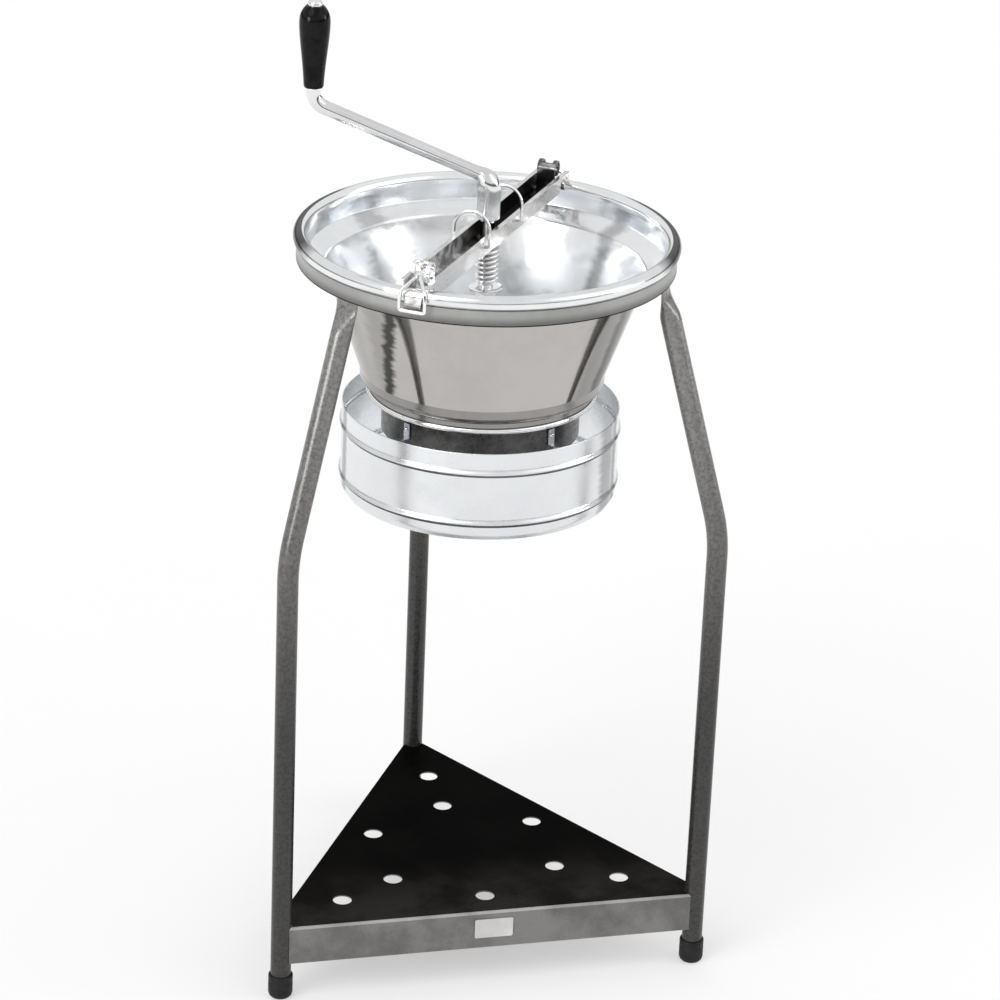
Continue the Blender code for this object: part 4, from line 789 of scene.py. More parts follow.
# ---------------------------------------------------------------- stand
def make_legs():
    """One leg is drawn up from its foot and crushed flat at its top; three copies stand round the mill."""
    steps = 10
    path = rounded([
        (LEG_CIRCLE, 0.0, LEG_START), (LEG_CIRCLE, 0.0, LEG_BEND),
        (LEG_TOP_LINE, 0.0, LEG_UPRIGHT), (LEG_TOP_LINE, 0.0, LEG_TOP),
    ], (LEG_BEND_ROUND, LEG_UPRIGHT_ROUND), steps)
    below, above = path[:steps + 2], path[steps + 2:]
    low, high = below[-1], above[0]
    extra = [low.lerp(high, share) for share in (0.3, 0.6, 0.8, 0.9)]
    for step in range(-1, 3):
        extra.append(low.lerp(high, (CRUSH_START - low.z + 0.004 * step) / (high.z - low.z)))
    path = below + sorted(extra, key=lambda point: point.z) + above
    widths = []
    for point in path:
        flat = eased(point.z, CRUSH_START, CRUSH_END)
        crushed = (CRUSHED_HALF_WIDTH, CRUSHED_HALF_THICKNESS)
        widths.append([LEG_RADIUS + (half - LEG_RADIUS) * flat for half in crushed])
    for name, azimuth in LEG_AZIMUTHS.items():
        leg = settled(drawn("leg_tube_" + name, path, widths, sides=28), azimuth)
        dress(leg, LEG_PAINT, "stand", "leg_" + name, slot="grey_painted_steel")


def make_feet():
    ferrule = [(0.0, 0.0), (0.0079, 0.0), (0.0104, 0.0008), (0.0122, 0.0028), (FOOT_RADIUS, 0.0058)]
    ferrule += [(FOOT_RADIUS, 0.0185), (0.01275, 0.0192), (0.01275, 0.0202), (FOOT_RADIUS, 0.0209)]
    ferrule += [(FOOT_RADIUS, FOOT_HEIGHT - 0.0012), (0.0127, FOOT_HEIGHT - 0.0003), (0.0122, FOOT_HEIGHT)]
    ferrule += [(LEG_RADIUS + SEAM, FOOT_HEIGHT), (LEG_RADIUS + SEAM, 0.006), (0.0, 0.006)]
    for name, azimuth in LEG_AZIMUTHS.items():
        foot = settled(turned("ferrule_" + name, ferrule, steps=40), place=MILL_AXIS + around(LEG_CIRCLE, azimuth))
        dress(foot, FOOT_RUBBER, "stand", "foot_" + name, slot="black_rubber")


def make_hoop():
    inner = HOOP_OUTER - HOOP_THICKNESS
    painted_shadow_top = HOOP_BOTTOM + 0.0014
    band = turned("hoop_band", [
        (inner, HOOP_BOTTOM), (HOOP_OUTER, HOOP_BOTTOM), (HOOP_OUTER, painted_shadow_top),
        (HOOP_OUTER, HOOP_TOP), (inner, HOOP_TOP),
    ])
    softened(band, 0.0007)
    dress(settled(band), HOOP_PAINT, "stand", "stand_hoop", slot="hoop_grey_paint")
    # A painted shadow line: the faces under this height get black paint.
    refaced(band, lambda face: BLACK_PAINT_PAINTED_SHEEN_AND_SHADOW if face.center.z < painted_shadow_top else None)


def tray_corners(edge, clip):
    """The corners of a triangle whose edges lie the same way from the axis, with its points cut off."""
    half = (2 * edge - clip) * math.tan(math.radians(30.0))
    corners = []
    for azimuth in sorted(LEG_AZIMUTHS.values()):
        out, along = around(1.0, azimuth), around(1.0, azimuth + 90.0)
        corners += [out * clip - along * half, out * clip + along * half]
    return corners


def make_tray():
    """A flat plate with a deep fold in front and shallow folds behind, drilled and notched for the legs."""
    def at_top(edge):
        return all(abs(end.co.z - TRAY_TOP) < SEAM for end in edge.verts)

    level = Vector((0.0, 0.0, TRAY_TOP))
    tray = outline_of("folded_tray", [corner + level for corner in tray_corners(TRAY_EDGE, LEG_CIRCLE)], filled=True)
    bpy.ops.object.mode_set(mode="EDIT")
    form = bmesh.from_edit_mesh(tray.data)
    bpy.ops.mesh.select_mode(type="EDGE")
    for front in (True, False):
        bpy.ops.mesh.select_all(action="DESELECT")
        for edge in form.edges:
            middle = (edge.verts[0].co + edge.verts[1].co) / 2
            at_front = middle.y < -TRAY_EDGE + SEAM
            edge.select_set(at_top(edge) and edge.calc_length() > LEG_CIRCLE and at_front == front)
        bmesh.update_edit_mesh(tray.data)
        depth = TRAY_APRON if front else TRAY_BACK_FOLD
        bpy.ops.mesh.extrude_region_move(TRANSFORM_OT_translate={"value": (0.0, 0.0, -depth)})
        form = bmesh.from_edit_mesh(tray.data)
    bpy.ops.mesh.select_all(action="DESELECT")
    for edge in form.edges:
        edge.select_set(at_top(edge) and len(edge.link_faces) == 2)
    bmesh.update_edit_mesh(tray.data)
    bpy.ops.mesh.bevel(offset=TRAY_FOLD_ROUND, segments=5, affect="EDGES")
    bpy.ops.mesh.select_all(action="SELECT")
    bpy.ops.mesh.normals_make_consistent(inside=False)
    bpy.ops.object.mode_set(mode="OBJECT")
    only(tray)
    wall = tray.modifiers.new("sheet", "SOLIDIFY")
    wall.thickness = TRAY_SHEET
    wall.offset = -1.0
    wall.use_even_offset = True
    bpy.ops.object.modifier_apply(modifier=wall.name)
    for azimuth in LEG_AZIMUTHS.values():
        cut(tray, drill(LEG_RADIUS + SEAM, LEG_CUT, around(LEG_CIRCLE, azimuth, TRAY_TOP)))
        cut(tray, drill(TRAY_HOLE, HOLE_CUT, around(TRAY_OUTER_HOLES, azimuth, TRAY_TOP)))
        for step in (0.0, 60.0):
            cut(tray, drill(TRAY_HOLE, HOLE_CUT, around(TRAY_INNER_HOLES, azimuth + step, TRAY_TOP)))
    softened(tray, 0.00035, segments=2, angle=50.0)
    dress(settled(tray), BLACK_PAINT_PAINTED_SHEEN_AND_SHADOW, "stand", "base_tray", slot="black_painted_steel")

    # The front fold gets a painted highlight, the upright faces a painted sheen.
    def painted_light_faces(face):
        at_front = face.center.y - MILL_AXIS.y < -TRAY_EDGE + TRAY_FOLD_ROUND
        at_fold = at_front and face.center.z > TRAY_TOP - TRAY_FOLD_ROUND
        if at_fold and face.normal.z > 0.1 and face.normal.y < -0.1:
            return PAINTED_FOLD_HIGHLIGHT
        return APRON_PAINTED_SHEEN if abs(face.normal.z) < 0.5 else None

    refaced(tray, painted_light_faces)


def make_badge():
    """A bare plate with rounded corners."""
    low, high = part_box("blank_badge")
    outline = []
    for quarter, (sx, sz) in enumerate(((1, 1), (-1, 1), (-1, -1), (1, -1))):
        x = (low.x + high.x) / 2 + sx * ((high.x - low.x) / 2 - BADGE_ROUND)
        z = (low.z + high.z) / 2 + sz * ((high.z - low.z) / 2 - BADGE_ROUND)
        outline += arc((x, z), BADGE_ROUND, 90.0 * quarter, 90.0 * quarter + 90.0, 6)
    badge = softened(pressed("bare_badge", outline, low.y, high.y), 0.0002)
    dress(badge, BADGE_PLATE, "stand", "blank_badge", slot="pale_aluminium")


# ---------------------------------------------------------------- hopper, neck and skirt
def make_hopper():
    """A spun shell with a rolled rim, an upright wall, a narrow ledge and a long cone."""
    inset = RIM_ROLL_CENTRE - WALL_TOP
    junction = RIM_ROLL_HEIGHT - math.sqrt(RIM_ROLL ** 2 - inset ** 2)
    corners = [(WALL_TOP, junction, 0.0), (*LEDGE, 0.0), (*CONE_TOP, 0.0), (*CONE_BOTTOM, 0.0)]
    outer = [(p.x, p.y) for p in rounded(corners, (0.003, 0.006), steps=6)]
    outer += arc((CONE_BOTTOM[0] - SHOULDER_ROUND, HOPPER_LIP[1] + SHOULDER_ROUND), SHOULDER_ROUND, -8.0, -90.0, 9)
    outer.append(HOPPER_LIP)
    inner = []
    for i, (radius, height) in enumerate(outer):
        before, after = outer[max(i - 1, 0)], outer[min(i + 1, len(outer) - 1)]
        run = Vector((after[0] - before[0], after[1] - before[1])).normalized()
        inner.append((radius + run.y * SHEET, height - run.x * SHEET))
    first = math.degrees(math.atan2(junction - RIM_ROLL_HEIGHT, WALL_TOP - RIM_ROLL_CENTRE))
    roll = arc((RIM_ROLL_CENTRE, RIM_ROLL_HEIGHT), RIM_ROLL, first, 180.0, 20)
    section = roll[1:] + [(RIM_ROLL_CENTRE - RIM_ROLL + SEAM, junction)] + inner[1:] + outer[::-1]
    hopper = settled(turned("hopper_sheet", section, steps=192))
    dress(hopper, TIN_OUTSIDE_PAINTED_SHADE, "mill", "hopper", slot="tinned_steel")

    # Under the cone's shoulder: painted shade, then a thin painted highlight line at the cone's foot.
    def painted_light_faces(face):
        middle = face.center - MILL_AXIS
        reach = math.hypot(middle.x, middle.y)
        outwards = middle.x * face.normal.x + middle.y * face.normal.y
        above_foot = middle.z - CONE_BOTTOM[1]
        if middle.z > junction - 0.002 and reach > WALL_TOP - 0.002:
            return TIN_ROLL if reach > RIM_ROLL_CENTRE - 0.2 * RIM_ROLL else TIN_RIM_AND_PAINTED_HIGHLIGHT
        if outwards < 0.0 or (middle.z < BOWL_FLOOR and face.normal.z > 0.5):
            return TIN_INSIDE
        if above_foot < PAINTED_HIGHLIGHT_LINE[0]:
            return TIN_SHOULDER_PAINTED_SHADE
        return TIN_RIM_AND_PAINTED_HIGHLIGHT if above_foot < PAINTED_HIGHLIGHT_LINE[1] else None

    refaced(hopper, painted_light_faces)


def make_neck():
    """A thick top ring and a bead, and below them a plain tube with a lip turned in at its foot."""
    (reach, height), under = NECK_BEAD_CENTRE, NECK_BEAD_CENTRE[1] - NECK_BEAD
    outline = [(NECK_RADIUS - SHEET, NECK_TOP), (NECK_SHOULDER - 0.0008, NECK_TOP), (NECK_SHOULDER, NECK_TOP - 0.0008)]
    outline += arc((reach, height), NECK_BEAD, 79.0, -90.0, 12)
    outline += [(radius, under + rise) for radius, rise in NECK_FILLET]
    outline += [
        (NECK_RADIUS, NECK_STRAIGHT), (NECK_RADIUS, NECK_BOTTOM + 0.0006), (NECK_RADIUS - 0.0006, NECK_BOTTOM),
        (NECK_LIP, NECK_BOTTOM), (NECK_LIP, NECK_BOTTOM + SHEET),
        (NECK_RADIUS - SHEET, NECK_BOTTOM + SHEET),
    ]
    neck = settled(turned("neck_sheet", outline))
    dress(neck, TIN_NECK_PAINTED_SHADE, "mill", "neck_collar", slot="dull_tinned_steel")

    # The bead's lower half gets a painted highlight and its upper half painted shade.
    def painted_light_faces(face):
        middle = face.center - MILL_AXIS
        far = math.hypot(middle.x, middle.y)
        if far > reach - 0.5 * NECK_BEAD:
            return TIN_RIM_AND_PAINTED_HIGHLIGHT if middle.z < height + 0.9 * NECK_BEAD else TIN_SHOULDER_PAINTED_SHADE
        inside = far < NECK_RADIUS - 0.5 * SHEET and middle.z > NECK_BOTTOM + 0.5 * SHEET
        return TIN_INSIDE if inside or middle.z > NECK_TOP - SEAM else None

    refaced(neck, painted_light_faces)


def make_sieve():
    """A disc drilled in rows; the drills are one cylinder copied over a hexagonal field."""
    disc = ring("sieve_sheet", SIEVE_BORE, SIEVE_RADIUS, SIEVE_BOTTOM, SIEVE_TOP, steps=96)
    punch = drill(SIEVE_HOLE, 4 * (SIEVE_TOP - SIEVE_BOTTOM), (0.0, 0.0, SIEVE_TOP), sides=10)
    bpy.ops.object.transform_apply(location=True, rotation=True, scale=True)
    field = []
    rows = int(SIEVE_DRILLED / (SIEVE_PITCH * math.sqrt(0.75)))
    for row in range(-rows, rows + 1):
        y = row * SIEVE_PITCH * math.sqrt(0.75)
        for column in range(-rows - 2, rows + 3):
            x = (column + 0.5 * (row % 2)) * SIEVE_PITCH
            if SIEVE_PLAIN < math.hypot(x, y) < SIEVE_DRILLED:
                field.append((x, y))
    form = bmesh.new()
    for x, y in field:
        form.from_mesh(punch.data)
        fresh = form.verts[:][-len(punch.data.vertices):]
        bmesh.ops.translate(form, verts=fresh, vec=(x, y, 0.0))
    form.to_mesh(punch.data)
    form.free()
    cut(disc, punch, solver="MANIFOLD")
    only(disc)
    bpy.ops.object.shade_smooth_by_angle(angle=math.radians(40.0))
    dress(settled(disc), TIN_INSIDE, "mill", "sieve_disc", slot="tinned_steel")


def make_skirt():
    """A spun band with two raised beads and a hem drawn in at the bottom."""
    wall = [(SKIRT_RADIUS, SKIRT_TOP)]
    low_edge, edge = SKIRT_BEAD_HALF + SKIRT_BEAD_FOOT[1], SKIRT_RADIUS + SKIRT_BEAD_FOOT[0]
    for height in SKIRT_BEADS:
        wall += [(SKIRT_RADIUS, height + low_edge), (edge, height + SKIRT_BEAD_HALF)]
        for angle in range(-60, 61, 20):
            rise = SKIRT_BEAD_RISE * math.cos(math.radians(angle)) ** 2
            wall.append((SKIRT_RADIUS + rise, height - SKIRT_BEAD_HALF * angle / 90.0))
        wall += [(edge, height - SKIRT_BEAD_HALF), (SKIRT_RADIUS, height - low_edge)]
    hem = rounded([
        (SKIRT_RADIUS, SKIRT_HEM + 0.001, 0.0), (SKIRT_RADIUS - 0.0002, SKIRT_HEM - 0.001, 0.0),
        (SKIRT_HEM_RADIUS, SKIRT_BOTTOM, 0.0),
    ], (SKIRT_HEM_ROUND,), steps=5)
    wall += [(p.x, p.y) for p in hem]
    outline = wall + [(radius - SHEET, height) for radius, height in wall[::-1]]
    skirt = softened(turned("skirt_sheet", outline), 0.0005, angle=60.0)
    dress(settled(skirt), TIN_SKIRT, "mill", "skirt", slot="tinned_steel")

    # The outward faces just under each bead get painted shade.
    def painted_light_faces(face):
        under_bead = any(-low_edge < face.center.z - height < -0.5 * SKIRT_BEAD_HALF for height in SKIRT_BEADS)
        outward = Vector((face.center.x, face.center.y - MILL_AXIS.y, 0.0))
        return TIN_PAINTED_SHADE_UNDER_BEAD if under_bead and face.normal.dot(outward) > 0.0 else None

    refaced(skirt, painted_light_faces)


def make_dome(name, size, place, direction):
    """A low rivet head that stands on a face. Its size is its radius and its height."""
    radius, head = size
    profile = [(radius * math.cos(math.radians(a)), head * math.sin(math.radians(a))) for a in range(0, 90, 15)]
    dome = turned(name, [(0.0, 0.0)] + profile + [(0.0, head)], steps=24)
    only(dome)
    dome.matrix_world = Matrix.Translation(place) @ Vector(direction).to_track_quat("Z", "Y").to_matrix().to_4x4()
    bpy.ops.object.transform_apply(location=True, rotation=True, scale=True)
    return dome


def make_straps():
    """Four bent straps from the neck to the skirt, each with a rivet at both ends."""
    neck_face, skirt_face = NECK_RADIUS + SEAM, SKIRT_RADIUS - SHEET - SEAM
    under, behind, front = STRAP_RUN - STRAP_SHEET, skirt_face - STRAP_SHEET, neck_face + STRAP_SHEET
    outline = [
        (neck_face, STRAP_TOP), (neck_face, under), (behind, under), (behind, STRAP_BOTTOM),
        (skirt_face, STRAP_BOTTOM), (skirt_face, STRAP_RUN), (front, STRAP_RUN), (front, STRAP_TOP),
    ]
    ends = (("neck", front + SEAM, NECK_RIVET_HEIGHT, 1.0), ("skirt", behind - SEAM, SKIRT_RIVET_HEIGHT, -1.0))
    for index in range(1, 5):
        azimuth = STRAP_AZIMUTH + 90.0 * (index - 1)
        strap = softened(pressed("hanger_%d" % index, outline, -STRAP_HALF_WIDTH, STRAP_HALF_WIDTH), 0.0007, segments=3)
        dress(settled(strap, azimuth), TIN_SKIRT, "mill", "skirt_strap_%d" % index, slot="tinned_steel")
        for end, reach, height, sign in ends:
            dome = make_dome("%s_rivet_head_%d" % (end, index), STRAP_RIVET, (reach, 0.0, height), (sign, 0.0, 0.0))
            dress(settled(dome, azimuth), BRIGHT, "mill", "%s_rivet_%d" % (end, index), slot="bright_steel")


# ---------------------------------------------------------------- crossbar and latches
def make_crossbar():
    """A channel with turned-out lips; its web and walls stop short where it bridges the rim."""
    outer, inner, under = BAR_HALF_WIDTH, BAR_HALF_WIDTH - BAR_SHEET, BAR_TOP - BAR_SHEET
    half = [
        (outer, BAR_BOTTOM), (outer, under), (outer + BAR_LIP, under),
        (outer + BAR_LIP, BAR_TOP), (inner, BAR_TOP), (inner, BAR_BOTTOM + BAR_SHEET),
    ]
    section = half + [(-y, z) for y, z in half[::-1]]
    bar = outline_of("channel_bar", [(-BAR_REACH, y, z) for y, z in section], filled=True)
    stretched(bar, (2 * BAR_REACH, 0.0, 0.0))
    below, beyond, aside = BAR_BOTTOM - 0.005, BAR_REACH + 0.004, 2 * outer
    notch = [
        (BAR_WEB_REACH, below), (BAR_WEB_REACH, BAR_BOTTOM), (BAR_WEB_REACH + 0.004, BAR_NOTCH),
        (beyond, BAR_NOTCH), (beyond, below),
    ]
    for sign in (1.0, -1.0):
        cut(bar, pressed("notch", [(sign * x, z) for x, z in notch], -aside, aside))
    cut(bar, drill(BAR_BORE, 0.02, (0.0, 0.0, BAR_BOTTOM)))
    softened(bar, 0.0005, segments=3, angle=40.0)
    dress(bar, BAR_STEEL, "mill", "crossbar", slot="bright_steel")

    # The channel's inside faces get its painted light and shade.
    def painted_light_faces(face):
        middle = face.center
        inside = abs(middle.y) < inner + 0.0002 and BAR_BOTTOM + 0.001 < middle.z < BAR_TOP - 0.0006
        return BAR_HOLLOW_PAINTED_LIGHT if inside and abs(middle.x) < BAR_REACH - 0.001 else None

    refaced(bar, painted_light_faces)
    settled(bar, BAR_AZIMUTH)


def make_bearing():
    """The flanged bush in the bar's bore, and the washer that the spring presses on."""
    low, shoulder, top = BUSH_HEIGHTS
    bush = turned("bush", [
        (ROD_BORE, low), (BUSH_RADIUS, low), (BUSH_RADIUS, shoulder), (BUSH_FLANGE, shoulder),
        (BUSH_FLANGE, top), (ROD_BORE, top),
    ], steps=48)
    dress(settled(softened(bush, 0.0004)), BUSH_BRASS, "mill", "bearing_bush", slot="brass")
    washer = ring("top_washer", BAR_BORE, TOP_WASHER_RADIUS, *TOP_WASHER_HEIGHTS)
    dress(settled(softened(washer, 0.0003)), BRIGHT, "mill", "spring_top_washer", slot="bright_steel")


def make_guards():
    """Two wire hoops over the bar, with their feet turned in under its lips."""
    half = GUARD_HALF_WIDTH
    foot = [(BAR_HALF_WIDTH + SEAM, GUARD_FOOT), (half, GUARD_FOOT), (half, GUARD_ARCH)]
    for side, sign in (("front", -1.0), ("rear", 1.0)):
        reach = sign * GUARD_REACH
        path = rounded([(reach, y, z) for y, z in foot], (GUARD_BEND,), steps=5)
        path += [Vector((reach, y, z)) for y, z in arc((0.0, GUARD_ARCH), half, 0.0, 180.0, 24)[1:-1]]
        path += rounded([(reach, -y, z) for y, z in foot[::-1]], (GUARD_BEND,), steps=5)
        guard = wire("guard_wire_" + side, path, GUARD_WIRE)
        dress(settled(guard, BAR_AZIMUTH), BRIGHT, "mill", "bar_hoop_" + side, slot="bright_steel")


def loop_path():
    """One side of a latch loop from its end in the eye to the middle of its foot, and the other side back."""
    (x, z), (foot_x, foot_z) = LATCH_PIVOT, LATCH_BOTTOM
    half = [
        (x, EYE_HALF_LENGTH - LATCH_END, z), (x, LATCH_NECK, z),
        (x + LATCH_NECK_END[0], LATCH_NECK, z + LATCH_NECK_END[1]),
        (x + LATCH_SHOULDER_PLACE[0], LATCH_SHOULDER, z + LATCH_SHOULDER_PLACE[1]),
        (foot_x, LATCH_SPREAD, z + LATCH_UPRIGHT), (foot_x, LATCH_SPREAD, foot_z), (foot_x, 0.0, foot_z),
    ]
    one = rounded(half, LATCH_BENDS, steps=6)
    return one + [Vector((p.x, -p.y, p.z)) for p in one[-2::-1]]


def make_latches():
    """At both ends of the bar: a curled eye with its rivet, a catch under the rim and the loop between them."""
    foot = BAR_BOTTOM + BAR_SHEET + SEAM
    riser = EYE_REACH - EYE_RADIUS
    inside = arc((EYE_REACH, EYE_HEIGHT), EYE_RADIUS - EYE_STRIP, 180.0, -130.0, 30)
    outside = arc((EYE_REACH, EYE_HEIGHT), EYE_RADIUS, -130.0, 180.0, 30)
    eye = [(EYE_FOOT_START, foot), (riser + EYE_STRIP, foot)] + inside + outside
    eye += [(riser, foot + EYE_STRIP), (EYE_FOOT_START, foot + EYE_STRIP)]
    slot = [(EYE_REACH + x, EYE_HEIGHT + z) for x, z in EYE_SLOT]
    ridge = arc((CATCH_REACH, CATCH_HEIGHT), CATCH_ROUND, -90.0, 40.0, 12)
    ridge += [(CATCH_REACH + 0.0015, CATCH_TOP), (CATCH_REACH, CATCH_TOP)]
    # The rear eye gets steel darkened as painted dark reflection.
    for side, sign, eye_finish in (("front", -1.0, BRIGHT), ("rear", 1.0, STEEL_PAINTED_DARK_REFLECTION)):
        def plate(name, outline, half, sign=sign):
            return pressed(name, [(sign * x, z) for x, z in outline], -half, half)

        curl = plate("curled_eye_" + side, eye, EYE_HALF_LENGTH)
        cut(curl, plate("eye_slot", slot, EYE_SLOT_HALF))
        softened(curl, 0.0004, angle=50.0)
        dress(settled(curl, BAR_AZIMUTH), eye_finish, "mill", "latch_eye_" + side, slot="bright_steel")
        top = (sign * EYE_RIVET_REACH, 0.0, foot + EYE_STRIP + SEAM)
        dome = make_dome("eye_rivet_head_" + side, EYE_RIVET, top, (0.0, 0.0, 1.0))
        dress(settled(dome, BAR_AZIMUTH), BRIGHT, "mill", "eye_rivet_" + side, slot="bright_steel")
        catch = softened(plate("catch_ridge_" + side, ridge, CATCH_HALF_LENGTH), 0.0005, angle=50.0)
        dress(settled(catch, BAR_AZIMUTH), CATCH_STEEL, "mill", "catch_" + side, slot="bright_steel")
        loop = wire("wire_loop_" + side, [Vector((sign * p.x, p.y, p.z)) for p in loop_path()], LATCH_WIRE)
        dress(settled(loop, BAR_AZIMUTH), BRIGHT, "loop_" + side, "latch_loop_" + side, slot="bright_steel")


# ---------------------------------------------------------------- crank, spring and blade
def make_crank():
    """One bent rod: tip, shaft, thick sleeve, rising arm and the spindle of the grip."""
    steps = 14
    bend = rounded([
        (0.0, 0.0, SLEEVE_BOTTOM), (0.0, 0.0, ARM_LOW),
        (CRANK_RADIUS, 0.0, ARM_HIGH), (CRANK_RADIUS, 0.0, SHOULDER_HEIGHT),
    ], ARM_BENDS, steps)
    shaft = [
        (ROD_TIP, ROD_TIP_RADIUS - 0.0003), (ROD_TIP + 0.0004, ROD_TIP_RADIUS),
        (ROD_TIP + ROD_TIP_LENGTH - 0.0003, ROD_TIP_RADIUS), (ROD_TIP + ROD_TIP_LENGTH, ROD_RADIUS),
        (SLEEVE_BOTTOM - 0.0003, ROD_RADIUS), (SLEEVE_BOTTOM, SLEEVE_RADIUS - 0.0008),
        (SLEEVE_BOTTOM + 0.0008, SLEEVE_RADIUS),
    ]
    path = [Vector((0.0, 0.0, height)) for height, _ in shaft]
    widths = [radius for _, radius in shaft]
    below, above = bend[1:steps + 2], bend[steps + 2:]
    arm = [below[-1].lerp(above[0], share) for share in (0.04, 0.1, 0.3, 0.6)]
    for point in below + arm + above:
        thin = ARM_THIN + (ROD_RADIUS - ARM_THIN) * portion(point.x, *ARM_THICKENING)
        path.append(point)
        widths.append(SLEEVE_RADIUS + (thin - SLEEVE_RADIUS) * eased(point.x, *ARM_SHOULDER))
    top = GRIP_BOTTOM + GRIP_LENGTH + SPINDLE_PAST_GRIP
    widths[-1] = ROD_RADIUS - 0.0006
    path.insert(-1, path[-1] - Vector((0.0, 0.0, 0.0006)))
    widths.insert(-1, ROD_RADIUS)
    path += [Vector((CRANK_RADIUS, 0.0, SHOULDER_HEIGHT + 0.0001)), Vector((CRANK_RADIUS, 0.0, top))]
    widths += [SPINDLE_RADIUS, SPINDLE_RADIUS]
    rod = drawn("bent_rod", path, [(width, width) for width in widths], sides=36)
    only(rod)
    bpy.ops.object.shade_smooth_by_angle(angle=math.radians(40.0))
    dress(settled(rod, CRANK_AZIMUTH), ROD_STEEL, "crank", "crank_rod", slot="bright_steel")
    collar = ring("rod_collar", ROD_BORE, COLLAR_RADIUS, *COLLAR_HEIGHTS)
    dress(settled(softened(collar, 0.0006)), BRIGHT, "crank", "shaft_collar", slot="bright_steel")
    underside, top = (ROD_BORE, SEAT_DISH[0][1]), [(SEAT_TOP_RADIUS, SEAT_TOP), (ROD_BORE, SEAT_TOP)]
    seat = turned("spring_dish", [underside, *SEAT_DISH, *top], steps=48)
    dress(settled(seat), BRIGHT, "seat", "spring_seat", slot="bright_steel")


def make_grip():
    """The turned grip on the crank's spindle, between a washer and a domed nut."""
    place = MILL_AXIS + around(CRANK_RADIUS, CRANK_AZIMUTH)
    shape = [
        (0.0, 0.60), (0.01, 0.640), (0.04, 0.655), (0.12, 0.68), (0.24, 0.735), (0.38, 0.815), (0.52, 0.90),
        (0.64, 0.96), (0.74, 0.995), (0.80, 1.0), (0.86, 0.975), (0.91, 0.90), (0.95, 0.78), (0.98, 0.66), (1.0, 0.56),
    ]
    bore = SPINDLE_RADIUS + PLAY
    outline = [(bore, GRIP_BOTTOM)] + [(GRIP_RADIUS * wide, GRIP_BOTTOM + GRIP_LENGTH * up) for up, wide in shape]
    outline.append((bore, GRIP_BOTTOM + GRIP_LENGTH))
    grip = turned("turned_grip", outline, steps=64)
    dress(settled(grip, place=place), GRIP_PLASTIC, "handle", "grip", slot="black_gloss_plastic")
    washer = ring("grip_collar", SPINDLE_BORE, GRIP_WASHER_RADIUS, *GRIP_WASHER_HEIGHTS)
    dress(settled(softened(washer, 0.0003), place=place), BRIGHT, "crank", "grip_washer", slot="bright_steel")
    low = GRIP_BOTTOM + GRIP_LENGTH + SEAM
    profile = [(SPINDLE_BORE, 0.0), *NUT_DOME, (0.0, SPINDLE_PAST_GRIP), (SPINDLE_BORE, SPINDLE_PAST_GRIP)]
    nut = turned("domed_nut", [(radius, low + height) for radius, height in profile], steps=48)
    dress(settled(nut, place=place), BRIGHT, "crank", "grip_nut", slot="bright_steel")


def make_spring():
    """A coil with both ends turned upright."""
    steps = 24
    low, high = SPRING_FOOT + SPRING_END + SPRING_ELBOW, SPRING_HEAD - SPRING_END - SPRING_ELBOW
    count = SPRING_TURNS * steps
    path = [around(SPRING_RADIUS, 0.0, height) for height in (SPRING_FOOT, SPRING_FOOT + SPRING_END)]
    for i in range(2, count - 1):
        path.append(around(SPRING_RADIUS, 360.0 * i / steps, low + (high - low) * i / count))
    path += [around(SPRING_RADIUS, 0.0, height) for height in (SPRING_HEAD - SPRING_END, SPRING_HEAD)]
    spring = wire("coil_spring", path, SPRING_WIRE, sides=12)
    dress(settled(spring, BAR_AZIMUTH), BRIGHT, "mill", "spring", slot="bright_steel")
    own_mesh(spring)


def make_blade():
    """A hub on the rod and half a turn of rising sheet, swept round it."""
    hub = turned("hub_sleeve", [
        (ROD_BORE, HUB_BOTTOM), (HUB_RADIUS, HUB_BOTTOM), (HUB_RADIUS, HUB_TOP - SHEET),
        (HUB_RADIUS - SHEET, HUB_TOP), (ROD_BORE, HUB_TOP),
    ], steps=64)
    dress(settled(softened(hub, 0.0005)), BRIGHT, "crank", "blade_hub", slot="bright_steel")
    pin = drill(HUB_PIN_RADIUS, 2 * (HUB_RADIUS + 0.0015), (0.0, 0.0, 0.0), sides=24)
    pin.name = pin.data.name = "hub_pin"
    pin.matrix_world = Matrix.Translation((0.0, 0.0, HUB_PIN_HEIGHT)) @ Matrix.Rotation(math.radians(90.0), 4, "X")
    bpy.ops.object.transform_apply(location=True, rotation=True, scale=True)
    dress(settled(softened(pin, 0.0004), CRANK_AZIMUTH), BRIGHT, "crank", "blade_pin", slot="bright_steel")
    root = HUB_RADIUS + SEAM
    radii = [root + (BLADE_REACH - root) * share for share in (0.0, 0.2, 0.4, 0.6, 0.8, 1.0)]
    low, high = BLADE_FOOT
    section = [(radius, low) for radius in radii] + [(radius, high) for radius in radii[::-1]]
    start = Matrix.Rotation(math.radians(BLADE_START), 4, "Z")
    corners = [start @ Vector((radius, 0.0, height)) for radius, height in section]
    count = 52
    turn = Matrix.Rotation(math.radians(BLADE_SWEEP / count), 4, "Z")
    step = Matrix.Translation((0.0, 0.0, BLADE_RISE / count)) @ turn
    blade = swept(outline_of("pressing_blade", corners, filled=True), [step] * count, smooth=32.0)
    softened(blade, 0.0004, angle=60.0)
    dress(settled(blade, CRANK_AZIMUTH), TIN_INSIDE, "crank", "press_blade", slot="tinned_steel")


